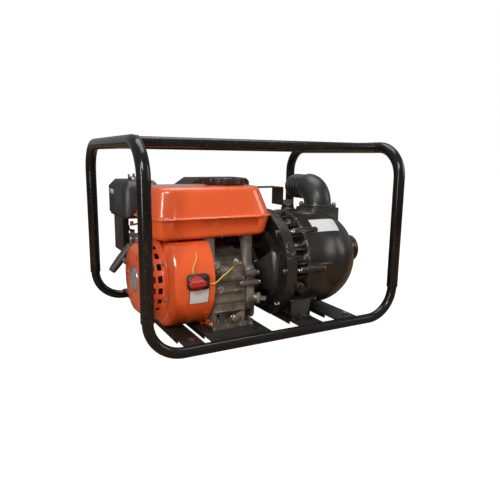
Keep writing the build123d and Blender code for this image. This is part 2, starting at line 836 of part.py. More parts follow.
with BuildPart() as recoil_rope:
    with BuildSketch(rope_plane.offset(4)):
        Circle(rope_radius)
    extrude(amount=8 + grip_reach - grip_radius)
recoil_rope.part.label = "recoil_rope"
export_step(recoil_rope.part, "parts/recoil_rope.step")

grip_centre = along(rope_direction, grip_reach, rope_exit)
grip_start = along(grip_direction, -grip_length / 2, grip_centre)
with BuildPart() as recoil_handle:
    with BuildSketch(Plane(origin=grip_start, z_dir=grip_direction)):
        Circle(grip_radius)
    extrude(amount=grip_length)
    fillet(recoil_handle.edges().filter_by(GeomType.CIRCLE), radius=3)
    with BuildSketch(rope_plane.offset(12 + 3)):
        Circle(6)
    extrude(amount=grip_reach - 3)
    with BuildSketch(rope_plane.offset(12)):
        Circle(rope_radius + 0.05)
    extrude(amount=grip_reach - grip_radius, mode=Mode.SUBTRACT)
recoil_handle.part.label = "recoil_handle"
export_step(recoil_handle.part, "parts/recoil_handle.step")

# === engine switch and its wires =================================================================
switch_x = -203.0
switch_z = 150.0
switch_width = 50.0
knob_shift = 7.0              # knob's axis from the middle of the switch
switch_height = 34.0
switch_front = crank_y - fan_radius - 7.0
knob_radius = 16.0

with BuildPart() as switch_body:
    with BuildSketch(Plane.XZ.offset(-switch_front)):
        with Locations((switch_x, switch_z)):
            RectangleRounded(switch_width, switch_height, 8)
    extrude(amount=-20)
    with BuildSketch(Plane.YZ.offset(switch_x - switch_width)):
        with Locations((crank_y, crank_z)):
            Circle(fan_radius)
    extrude(amount=2 * switch_width, mode=Mode.SUBTRACT)
    with BuildSketch(Plane.XZ.offset(-switch_front)):
        with Locations((switch_x - knob_shift, switch_z)):
            Circle(knob_radius + 2)
    extrude(amount=2)
switch_body.part.label = "switch_body"
export_step(switch_body.part, "parts/switch_body.step")

with BuildPart() as switch_knob:
    with BuildSketch(Plane.XZ.offset(-switch_front + 2 + body_gap / 5)):
        with Locations((switch_x - knob_shift, switch_z)):
            Circle(knob_radius)
    extrude(amount=6)
    with BuildSketch(Plane.XZ.offset(-switch_front + 8)):
        with Locations((switch_x - knob_shift, switch_z)):
            RectangleRounded(38, 12, 5)
    extrude(amount=9)
    fillet(switch_knob.faces().sort_by(Axis.Y)[0].edges(), radius=2)
switch_knob.part.label = "switch_knob"
export_step(switch_knob.part, "parts/switch_knob.step")

wire = 2.6
switch_wire_points = [(-214, -214, 167.6), (-217, -217, 177), (-213, -213, 187), (-205, -207, 195),
                      (-200, -199, 203), (-199, -190.5, 210.5)]
sensor_wire_points = [(-177.6, -214, 144), (-169, -218, 143), (-160, -219, 147), (-151, -215, 153),
                      (-141, -209, 157), (-130, -203, 160), (-119, -196, 164), (-108, -190, 169),
                      (-99, -183, 173)]


def route_bends(points):
    """The largest tangent radius at each corner that leaves its two runs room."""
    bends = []
    for before, corner, after in zip(points, points[1:], points[2:]):
        first = Vector(*corner) - Vector(*before)
        second = Vector(*after) - Vector(*corner)
        turn = radians(first.get_angle(second))
        bends.append(0.45 * min(first.length, second.length) / tan(turn / 2))
    return bends


def wire_along(points, thickness, name):
    bends = route_bends(points)
    print(name, "radii", [round(bend, 1) for bend in bends])
    tube = bent_tube(points, bends, thickness, 0)
    return tube


switch_wire = wire_along(switch_wire_points, wire, "switch_wire")
switch_wire.part.label = "switch_wire"
export_step(switch_wire.part, "parts/switch_wire.step")

sensor_wire = wire_along(sensor_wire_points, wire, "sensor_wire")
sensor_wire.part.label = "sensor_wire"
export_step(sensor_wire.part, "parts/sensor_wire.step")


# === fuel tank ===================================================================================
def tank_section(z, left, right, front, back, corner):
    """A rounded rectangle of the tank at one height, sketched on its own plane."""
    with BuildSketch(Plane.XY.offset(z)) as section:
        with Locations(((left + right) / 2, (front + back) / 2)):
            RectangleRounded(right - left, back - front, corner)
    return section.sketch


def tank_half(z_from, z_to, inset_from, insets_to, corner_to, grow=0.0):
    """Lofts between two heights; insets_to is left, right, front, back at the second height."""
    left_in, right_in, front_in, back_in = insets_to
    with BuildPart() as half:
        add(tank_section(z_from, tank_left + inset_from - grow, tank_right - inset_from + grow,
                         tank_front + inset_from - grow, tank_back - inset_from + grow,
                         tank_corner + grow))
        add(tank_section(z_to, tank_left + left_in - grow, tank_right - right_in + grow,
                         tank_front + front_in - grow, tank_back - back_in + grow, corner_to + grow))
        loft()
    return half


upper_taper = (16.0, 34.0, 16.0, 14.0)
lower_taper = (16.0, 20.0, 14.0, 14.0)
tank_upper = tank_half(tank_seam, tank_top, seam_lip, upper_taper, 40.0)
tank_lower = tank_half(tank_seam, tank_bottom, seam_lip, lower_taper, 34.0)
tank_upper_inside = tank_half(tank_seam, tank_top - tank_wall, seam_lip, upper_taper, 40.0, -tank_wall)
tank_lower_inside = tank_half(tank_seam, tank_bottom + tank_wall, seam_lip, lower_taper, 34.0, -tank_wall)

with BuildPart() as fuel_tank:
    add(tank_upper.part)
    add(tank_lower.part)
    fillet(fuel_tank.faces().sort_by(Axis.Z)[-1].edges(), radius=14)
    fillet(fuel_tank.faces().sort_by(Axis.Z)[0].edges(), radius=16)
    add(tank_section(tank_seam - seam_thick / 2, tank_left, tank_right, tank_front, tank_back,
                     tank_corner + seam_lip))
    extrude(amount=seam_thick)
    add(tank_upper_inside.part, mode=Mode.SUBTRACT)
    add(tank_lower_inside.part, mode=Mode.SUBTRACT)
    with BuildSketch(Plane.XY.offset(tank_top - tank_wall - 2)):
        with Locations((cap_x, cap_y)):
            Circle(neck_radius + 3)
    extrude(amount=tank_wall + 4)
    with BuildSketch(Plane.XY.offset(tank_top - tank_wall - 2)):
        with Locations((cap_x, cap_y)):
            Circle(neck_radius)
    extrude(amount=tank_wall + 10, mode=Mode.SUBTRACT)
    with BuildSketch(Plane.XZ.offset(-outlet_stub_end)):
        with Locations((outlet_stub_x, outlet_stub_z)):
            Circle(outlet_stub_radius)
    extrude(amount=18)
    with BuildSketch(Plane.XZ.offset(-outlet_stub_end)):
        with Locations((outlet_stub_x, outlet_stub_z)):
            Circle(outlet_stub_radius - 2)
    extrude(amount=24, mode=Mode.SUBTRACT)
fuel_tank.part.label = "fuel_tank"
export_step(fuel_tank.part, "parts/fuel_tank.step")

cap_start = tank_top + 2 + 0.1
cap_height = 15.0
with BuildPart() as fuel_cap:
    with BuildSketch(Plane.XY.offset(cap_start)):
        with Locations((cap_x, cap_y)):
            Circle(cap_radius)
    extrude(amount=cap_height)
    fillet(fuel_cap.faces().sort_by(Axis.Z)[-1].edges(), radius=2.5)
    with BuildSketch(Plane.XY.offset(cap_start)):
        for k in range(12):
            with Locations(Location((cap_x, cap_y), 30 * k)):
                with Locations((cap_radius + 4.5, 0)):
                    Circle(7)
    extrude(amount=cap_height, mode=Mode.SUBTRACT)
    with BuildSketch(Plane.XY.offset(cap_start)):
        with Locations((cap_x, cap_y)):
            Circle(neck_radius - body_gap)
            Circle(neck_radius - 4, mode=Mode.SUBTRACT)
    extrude(amount=-12)
fuel_cap.part.label = "fuel_cap"
export_step(fuel_cap.part, "parts/fuel_cap.step")

# === intake side =================================================================================
carb_right = carb_left + carb_length
carb_y = port_y
carb_z = port_z
manifold_flange = 5.0
with BuildPart() as intake_pipe:
    with BuildSketch(Plane.YZ.offset(head_left)):
        with Locations(Location((port_y, port_z), lean)):
            RectangleRounded(29, 52, 8)
    extrude(amount=-manifold_flange)
    with BuildSketch(Plane.YZ.offset(carb_right)):
        with Locations((carb_y, carb_z)):
            RectangleRounded(52, 30, 8)
    extrude(amount=manifold_flange)
    with BuildSketch(Plane.YZ.offset(carb_right)):
        with Locations((carb_y, carb_z)):
            Circle(port_radius + 3)
    extrude(amount=head_left - carb_right)
    with BuildSketch(Plane.YZ.offset(carb_right)):
        with Locations((carb_y, carb_z)):
            Circle(port_radius)
    extrude(amount=head_left - carb_right, mode=Mode.SUBTRACT)
intake_pipe.part.label = "intake_pipe"
export_step(intake_pipe.part, "parts/intake_pipe.step")

throttle_x = carb_right - 15.0
choke_x = carb_left + 13.0
lever_pin = 4.0
lever_thick = 2.5
choke_boss_top = carb_z + carb_radius + 6
throttle_boss_top = carb_z + carb_radius + 24
inlet_x = -269.0
inlet_z = carb_z - 20.0
inlet_end = carb_y - 31.0
tap_x = carb_left + 27.0
bowl_x = (carb_left + carb_right) / 2
bowl_top = carb_z - 8
bowl_bottom = carb_z - 46
tap_z = carb_z - 22.0
tap_face = carb_y + bowl_radius + 8.0

with BuildPart() as carburettor:
    with BuildSketch(Plane.YZ.offset(carb_left)):
        with Locations((carb_y, carb_z)):
            Circle(carb_radius)
    extrude(amount=carb_length)
    for x in (carb_left, carb_right - 6):
        with BuildSketch(Plane.YZ.offset(x)):
            with Locations((carb_y, carb_z)):
                RectangleRounded(52, 32, 8)
        extrude(amount=6)
    with BuildSketch(Plane.XY.offset(bowl_bottom)):
        with Locations((bowl_x, carb_y)):
            Circle(bowl_radius)
    extrude(amount=bowl_top - bowl_bottom)
    fillet(carburettor.faces().sort_by(Axis.Z)[0].edges(), radius=6)
    for x, boss_top in ((throttle_x, throttle_boss_top), (choke_x, choke_boss_top)):
        with BuildSketch(Plane.XY.offset(carb_z)):
            with Locations((x, carb_y)):
                Circle(6)
        extrude(amount=boss_top - carb_z)
    with BuildSketch(Plane.XZ.offset(-inlet_end)):
        with Locations((inlet_x, inlet_z)):
            Circle(4)
    extrude(amount=inlet_end - carb_y + 4)
    with BuildSketch(Plane.XZ.offset(-tap_face)):
        with Locations((tap_x, tap_z)):
            Circle(8)
    extrude(amount=tap_face - carb_y)
    with BuildSketch(Plane.YZ.offset(carb_left)):
        with Locations((carb_y, carb_z)):
            Circle(port_radius)
    extrude(amount=carb_length, mode=Mode.SUBTRACT)
    for x, boss_top in ((throttle_x, throttle_boss_top), (choke_x, choke_boss_top)):
        with BuildSketch(Plane.XY.offset(boss_top)):
            with Locations((x, carb_y)):
                Circle(lever_pin + running_clearance)
        extrude(amount=-10, mode=Mode.SUBTRACT)
    with BuildSketch(Plane.XZ.offset(-tap_face)):
        with Locations((tap_x, tap_z)):
            Circle(lever_pin + running_clearance)
    extrude(amount=8, mode=Mode.SUBTRACT)
carburettor.part.label = "carburettor"
export_step(carburettor.part, "parts/carburettor.step")


def flat_lever(x, boss_top, reach, width, turn):
    """A lever on a vertical pin that turns in a carburettor boss."""
    with BuildPart() as lever:
        with BuildSketch(Plane.XY.offset(boss_top + 0.1)):
            with Locations(Location((x, carb_y), turn)):
                Circle(7)
                with Locations((reach / 2, 0)):
                    RectangleRounded(reach, width, width / 2.2)
        extrude(amount=lever_thick)
        with BuildSketch(Plane.XY.offset(boss_top + 0.1)):
            with Locations((x, carb_y)):
                Circle(lever_pin)
        extrude(amount=-9)
        with BuildSketch(Plane.XY.offset(boss_top + 0.1 + lever_thick)):
            with Locations(Location((x, carb_y), turn)):
                with Locations((reach - 5, 0)):
                    Circle(4.5)
        extrude(amount=8)
    return lever


throttle_lever = flat_lever(throttle_x, throttle_boss_top, 54, 9, 223)
throttle_lever.part.label = "throttle_lever"
export_step(throttle_lever.part, "parts/throttle_lever.step")

choke_lever = flat_lever(choke_x, choke_boss_top, 30, 8, 100)
choke_lever.part.label = "choke_lever"
export_step(choke_lever.part, "parts/choke_lever.step")

with BuildPart() as fuel_tap_lever:
    with BuildSketch(Plane.XZ.offset(-tap_face - 0.1)):
        with Locations((tap_x, tap_z)):
            Circle(7)
        with Locations((tap_x + 9, tap_z)):
            RectangleRounded(26, 8, 3.5)
    extrude(amount=-3)
    with BuildSketch(Plane.XZ.offset(-tap_face - 0.1)):
        with Locations((tap_x, tap_z)):
            Circle(lever_pin)
    extrude(amount=7)
fuel_tap_lever.part.label = "fuel_tap_lever"
export_step(fuel_tap_lever.part, "parts/fuel_tap_lever.step")

# --- air cleaner ---------------------------------------------------------------------------------
cleaner_x = (cleaner_left + cleaner_right) / 2
cleaner_y = (cleaner_front + cleaner_back) / 2
cleaner_length = cleaner_right - cleaner_left
cleaner_depth = cleaner_back - cleaner_front
tray_height = 14.0
tray_top = cleaner_bottom + tray_height
duct_left = cleaner_left + 2
duct_width = carb_left - duct_left
duct_front = carb_y - 23
duct_depth = 86.0
duct_bottom = carb_z - 24
stud_radius = 3.0
stud_top = cleaner_top + 15

with BuildPart() as air_cleaner_base:
    with BuildSketch(Plane.XY.offset(cleaner_bottom)):
        with Locations((cleaner_x, cleaner_y)):
            RectangleRounded(cleaner_length - 2 * cleaner_wall, cleaner_depth - 2 * cleaner_wall,
                             cleaner_corner - cleaner_wall)
    extrude(amount=tray_height)
    with BuildSketch(Plane.XY.offset(duct_bottom)):
        with Locations((duct_left + duct_width / 2, duct_front + duct_depth / 2)):
            RectangleRounded(duct_width, duct_depth, 5)
    extrude(amount=cleaner_bottom - duct_bottom + 4)
    with BuildSketch(Plane.XY.offset(cleaner_bottom + 4)):
        with Locations((cleaner_x, cleaner_y)):
            RectangleRounded(cleaner_length - 14, cleaner_depth - 14, cleaner_corner - 7)
    extrude(amount=tray_height, mode=Mode.SUBTRACT)
    with BuildSketch(Plane.XY.offset(duct_bottom + 4)):
        with Locations((duct_left + duct_width / 2, duct_front + duct_depth / 2)):
            RectangleRounded(duct_width - 6, duct_depth - 8, 3)
    extrude(amount=cleaner_bottom - duct_bottom + 8, mode=Mode.SUBTRACT)
    with BuildSketch(Plane.YZ.offset(carb_left)):
        with Locations((carb_y, carb_z)):
            Circle(port_radius)
    extrude(amount=-10, mode=Mode.SUBTRACT)
    with BuildSketch(Plane.XY.offset(cleaner_bottom)):
        with Locations((cleaner_x, cleaner_y)):
            Circle(8)
    extrude(amount=tray_height)
    with BuildSketch(Plane.XY.offset(tray_top)):
        with Locations((cleaner_x, cleaner_y)):
            Circle(stud_radius)
    extrude(amount=stud_top - tray_top)
air_cleaner_base.part.label = "air_cleaner_base"
export_step(air_cleaner_base.part, "parts/air_cleaner_base.step")

cover_start = cleaner_bottom + 6
with BuildPart() as air_cleaner_cover:
    with BuildSketch(Plane.XY.offset(cover_start)):
        with Locations((cleaner_x, cleaner_y)):
            RectangleRounded(cleaner_length, cleaner_depth, cleaner_corner)
    extrude(amount=cleaner_top - cover_start)
    chamfer(air_cleaner_cover.faces().sort_by(Axis.Z)[-1].edges(), length=cleaner_chamfer)
    with BuildSketch(Plane.XY.offset(cover_start)):
        with Locations((cleaner_x, cleaner_y)):
            RectangleRounded(cleaner_length - 2 * cleaner_wall, cleaner_depth - 2 * cleaner_wall,
                             cleaner_corner - cleaner_wall)
    extrude(amount=cleaner_top - cover_start - cleaner_chamfer - 1, mode=Mode.SUBTRACT)
    with BuildSketch(Plane.XY.offset(cleaner_top - cleaner_chamfer - 1)):
        with Locations((cleaner_x, cleaner_y)):
            RectangleRounded(cleaner_length - 2 * cleaner_chamfer - 2 * cleaner_wall,
                             cleaner_depth - 2 * cleaner_chamfer - 2 * cleaner_wall, 4)
    extrude(amount=cleaner_chamfer + 1 - cleaner_wall, mode=Mode.SUBTRACT)
    with BuildSketch(Plane.XY.offset(cleaner_top - cleaner_wall)):
        with Locations((cleaner_x, cleaner_y)):
            Circle(stud_radius + 0.3)
    extrude(amount=cleaner_wall, mode=Mode.SUBTRACT)
air_cleaner_cover.part.label = "air_cleaner_cover"
export_step(air_cleaner_cover.part, "parts/air_cleaner_cover.step")

filter_top = cleaner_top - cleaner_chamfer - 6
filter_bottom = cleaner_bottom + 4
with BuildPart() as filter_element:
    with BuildSketch(Plane.XY.offset(filter_bottom)):
        with Locations((cleaner_x, cleaner_y)):
            RectangleRounded(cleaner_length - 20, cleaner_depth - 20, 10)
            RectangleRounded(cleaner_length - 52, cleaner_depth - 52, 6, mode=Mode.SUBTRACT)
    extrude(amount=filter_top - filter_bottom)
filter_element.part.label = "filter_element"
export_step(filter_element.part, "parts/filter_element.step")

with BuildPart() as wing_nut:
    with BuildSketch(Plane.XY.offset(cleaner_top + 0.1)):
        with Locations((cleaner_x, cleaner_y)):
            Circle(6.5)
            with Locations((9, 0), (-9, 0)):
                RectangleRounded(11, 3, 1.4)
    extrude(amount=8)
    with BuildSketch(Plane.XY.offset(cleaner_top + 8.1)):
        with Locations((cleaner_x + 12, cleaner_y), (cleaner_x - 12, cleaner_y)):
            RectangleRounded(6, 3, 1.4)
    extrude(amount=6)
    with BuildSketch(Plane.XY.offset(cleaner_top)):
        with Locations((cleaner_x, cleaner_y)):
            Circle(stud_radius + running_clearance)
    extrude(amount=20, mode=Mode.SUBTRACT)
wing_nut.part.label = "wing_nut"
export_step(wing_nut.part, "parts/wing_nut.step")

hose = 7.0
fuel_hose_points = [(outlet_stub_x, outlet_stub_end, outlet_stub_z), (-234, 4, 250), (-243, 10, 240),
                    (-255, 10, 226), (-265, 7, 211), (-269, 3, 197), (inlet_x, inlet_end, inlet_z)]
fuel_hose = wire_along(fuel_hose_points, hose, "fuel_hose")
fuel_hose.part.label = "fuel_hose"
export_step(fuel_hose.part, "parts/fuel_hose.step")

lead_start = along(plug_direction, 34, plug_seat)
lead_entry = Plane(origin=(-192, crank_y, crank_z), z_dir=(0, cos(radians(20)), -sin(radians(20))))
lead_points = [tuple(lead_start), (-96, 96, 134), (-112, 102, 108), (-134, 92, 90), (-164, 68, 84),
               tuple(lead_entry.offset(fan_radius + 20).origin),
               tuple(lead_entry.offset(fan_radius + 0.06).origin)]
ignition_lead = wire_along(lead_points, 7.0, "ignition_lead")
with BuildPart() as ignition_lead_capped:
    add(ignition_lead.part)
    with BuildSketch(plug_plane.offset(11)):
        Circle(10)
    extrude(amount=28)
    fillet(ignition_lead_capped.edges().filter_by(GeomType.CIRCLE).filter_by(
        lambda e: abs(e.radius - 10) < 0.1), radius=3)
    with BuildSketch(plug_plane.offset(8)):
        Circle(5.5 + running_clearance)
    extrude(amount=23.2, mode=Mode.SUBTRACT)
ignition_lead_capped.part.label = "ignition_lead"
export_step(ignition_lead_capped.part, "parts/ignition_lead.step")

# === exhaust =====================================================================================
pipe_outer = 26.0
pipe_wall = 2.5
pipe_bend = 18.0
pipe_x = head_right + 30.0
exhaust_corners = [(head_right, port_y, port_z), (pipe_x, port_y, port_z),
                   (pipe_x, port_y, muffler_bottom)]
exhaust_tube = bent_tube(exhaust_corners, pipe_bend, pipe_outer, pipe_wall)
with BuildPart() as exhaust_pipe:
    add(exhaust_tube.part)
    with BuildSketch(Plane.YZ.offset(head_right)):
        with Locations(Location((port_y, port_z), lean)):
            RectangleRounded(29, 56, 8)
            Circle(pipe_outer / 2 - pipe_wall, mode=Mode.SUBTRACT)
    extrude(amount=7)
exhaust_pipe.part.label = "exhaust_pipe"
export_step(exhaust_pipe.part, "parts/exhaust_pipe.step")

outlet_x = muffler_right - 30
with BuildPart() as muffler:
    with BuildSketch(Plane.XY.offset(muffler_bottom)):
        with Locations(((muffler_left + muffler_right) / 2, (muffler_front + muffler_back) / 2)):
            RectangleRounded(muffler_right - muffler_left, muffler_back - muffler_front, 22)
    extrude(amount=muffler_top - muffler_bottom)
    fillet(muffler.faces().filter_by(Axis.Z).edges(), radius=16)
    seam_z = (muffler_bottom + muffler_top) / 2
    with BuildSketch(Plane.XY.offset(seam_z - 1.5)):
        with Locations(((muffler_left + muffler_right) / 2, (muffler_front + muffler_back) / 2)):
            RectangleRounded(muffler_right - muffler_left + 6, muffler_back - muffler_front + 6, 25)
    extrude(amount=3)
    for x in (muffler_left + 34, muffler_right - 34):
        with BuildSketch(Plane.XZ.offset(-muffler_front + guard_gap - guard_wall)):
            with Locations((x, seam_z + 20)):
                Circle(6)
        extrude(amount=-(muffler_back - muffler_front) - 2 * (guard_gap - guard_wall))
    with BuildSketch(Plane.XZ.offset(-muffler_back + 12)):
        with Locations((outlet_x, seam_z - 18)):
            Circle(13)
    extrude(amount=-12 - guard_gap - 6)
    with BuildSketch(Plane.XZ.offset(-muffler_back + 12)):
        with Locations((outlet_x, seam_z - 18)):
            Circle(10.5)
    extrude(amount=-12 - guard_gap - 6, mode=Mode.SUBTRACT)
muffler.part.label = "muffler"
export_step(muffler.part, "parts/muffler.step")

guard_right = muffler_right + 15
guard_front = muffler_front - guard_gap
guard_back = muffler_back + guard_gap
guard_bottom = muffler_bottom + 8
guard_top = muffler_top + 14
guard_slope = 48.0


def guard_block(inset):
    """The guard's outer block, or its inside, with the long slope on its left end."""
    with BuildPart() as block:
        with BuildSketch(Plane.XZ.offset(-guard_front - inset)):
            with BuildLine():
                Polyline((guard_left + inset, guard_bottom), (guard_right - inset, guard_bottom),
                         (guard_right - inset, guard_top - 12 - inset),
                         (guard_right - 12 - inset, guard_top - inset),
                         (guard_left + guard_slope + inset / 2, guard_top - inset),
                         (guard_left + inset, guard_top - 32 - inset / 2), close=True)
            make_face()
        extrude(amount=-(guard_back - guard_front - 2 * inset))
        fillet(block.edges().filter_by(Axis.Z), radius=8 - inset)
    return block


guard_inside = guard_block(guard_wall)
guard_outside = guard_block(0)
with BuildPart() as muffler_guard:
    add(guard_outside.part)
    add(guard_inside.part, mode=Mode.SUBTRACT)
    with BuildSketch(Plane.XY.offset(guard_top - 6)):
        with Locations(((guard_left + guard_slope + guard_right - 12) / 2,
                        (guard_front + guard_back) / 2)):
            with GridLocations(11, 40, 10, 2):
                SlotOverall(30, 5, rotation=90)
    extrude(amount=12, mode=Mode.SUBTRACT)
    with BuildSketch(Plane.XZ.offset(-guard_back + 6)):
        with Locations(((guard_left + guard_right) / 2 - 10, guard_bottom + 46)):
            with GridLocations(11, 30, 9, 2):
                SlotOverall(22, 5, rotation=90)
    extrude(amount=-12, mode=Mode.SUBTRACT)
    with BuildSketch(Plane.XZ.offset(-guard_back + 6)):
        with Locations((outlet_x, seam_z - 18)):
            Circle(15)
    extrude(amount=-12, mode=Mode.SUBTRACT)
muffler_guard.part.label = "muffler_guard"
export_step(muffler_guard.part, "parts/muffler_guard.step")

# === pump ========================================================================================
bolt_turns = [45 * k for k in range(8) if 45 * k != 270]


def pump_disc(radius, thickness, start):
    """A disc about the casing bolts' circle, cut flat above the pump plate."""
    with BuildPart() as disc:
        with BuildSketch(Plane.YZ.offset(start)):
            with Locations((pump_y, bolt_circle_z)):
                Circle(radius)
            with Locations((pump_y, flange_floor + 1.5 * radius)):
                Rectangle(3 * radius, 3 * radius, mode=Mode.INTERSECT)
        extrude(amount=thickness)
    return disc


bracket_start = cover_right + pilot_height
back_disc = pump_disc(flange_radius, back_plate_thick, bracket_end)
seal_bore = 24.0
with BuildPart() as pump_bracket:
    with BuildSketch(Plane.XY):
        with BuildLine():
            Polyline((bracket_start, pilot_radius - 22), (bracket_start, pilot_radius + 8),
                     (bracket_start + 9, pilot_radius + 8), (bracket_start + 14, pilot_radius),
                     (bracket_end - 8, 104), (bracket_end, 104), (bracket_end, 94),
                     (bracket_end - 12, 92), (bracket_start + 14, pilot_radius - 12), close=True)
        make_face()
    revolve(axis=Axis.X)
bracket_bell = pump_bracket.part.moved(Location((0, crank_y, crank_z)))
with BuildPart() as pump_bracket:
    add(bracket_bell)
    for k in range(4):
        turn = radians(45 + 90 * k)
        outward = (0, cos(turn), sin(turn))
        window = Plane(origin=(0, crank_y, crank_z), x_dir=(1, 0, 0), z_dir=outward)
        with BuildSketch(window.offset(60)):
            with Locations(((bracket_start + bracket_end) / 2 + 4, 0)):
                RectangleRounded(24, 44, 8)
        extrude(amount=60, mode=Mode.SUBTRACT)
pump_bracket.part.label = "pump_bracket"
export_step(pump_bracket.part, "parts/pump_bracket.step")

with BuildPart() as pump_back_plate:
    add(back_disc.part)
    for turn in bolt_turns:
        y = pump_y + bolt_circle * cos(radians(turn))
        z = bolt_circle_z + bolt_circle * sin(radians(turn))
        with BuildSketch(Plane.YZ.offset(bracket_end)):
            with Locations((y, z)):
                Circle((m8 + hole_clearance) / 2)
        extrude(amount=back_plate_thick, mode=Mode.SUBTRACT)
    with BuildSketch(Plane.YZ.offset(bracket_end)):
        with Locations((crank_y, crank_z)):
            Circle(seal_bore)
    extrude(amount=back_plate_thick, mode=Mode.SUBTRACT)
pump_back_plate.part.label = "pump_back_plate"
export_step(pump_back_plate.part, "parts/pump_back_plate.step")

with BuildPart() as shaft_seal:
    with BuildSketch(Plane.YZ.offset(bracket_end)):
        with Locations((crank_y, crank_z)):
            Circle(seal_bore)
            Circle(shaft_radius + running_clearance, mode=Mode.SUBTRACT)
    extrude(amount=back_plate_thick - 2)
    with BuildSketch(Plane.YZ.offset(bracket_end + back_plate_thick - 2)):
        with Locations((crank_y, crank_z)):
            Circle(seal_bore - 4)
            Circle(shaft_radius + running_clearance, mode=Mode.SUBTRACT)
    extrude(amount=6)
shaft_seal.part.label = "shaft_seal"
export_step(shaft_seal.part, "parts/shaft_seal.step")


def drum(inset):
    """The casing's drum and domed end about its own axis; inset is 0 or the wall."""
    radius = casing_radius - inset
    end = dome_end - inset
    start = casing_start if inset == 0 else casing_start - 1
    with BuildPart() as body:
        with BuildSketch(Plane.XY):
            with BuildLine():
                Line((start, 0), (start, radius))
                Line((start, radius), (drum_end, radius))
                EllipticalCenterArc((drum_end, 0), end - drum_end, radius, start_angle=0, arc_size=90)
                Line((end, 0), (start, 0))
            make_face()
        revolve(axis=Axis.X)
    return body.part.moved(Location((0, pump_y, casing_z)))


envelope = drum(0)
with BuildPart() as casing_hollow:
    add(drum(casing_wall))
    with BuildSketch(Plane.YZ.offset(casing_start - 2)):
        with Locations((pump_y, bolt_circle_z)):
            Circle(2 * casing_radius)
            Circle(neck_radius_outside - casing_wall, mode=Mode.SUBTRACT)
    extrude(amount=ring_start + ring_thick - casing_start - 3, mode=Mode.SUBTRACT)
hollow = casing_hollow.part
casing_flange = pump_disc(flange_radius, flange_thick, casing_start)
casing_ring = pump_disc(ring_radius, ring_thick, ring_start)
sleeve_places = [(pump_y + bolt_circle * cos(radians(turn)), bolt_circle_z + bolt_circle * sin(radians(turn)))
                 for turn in bolt_turns]

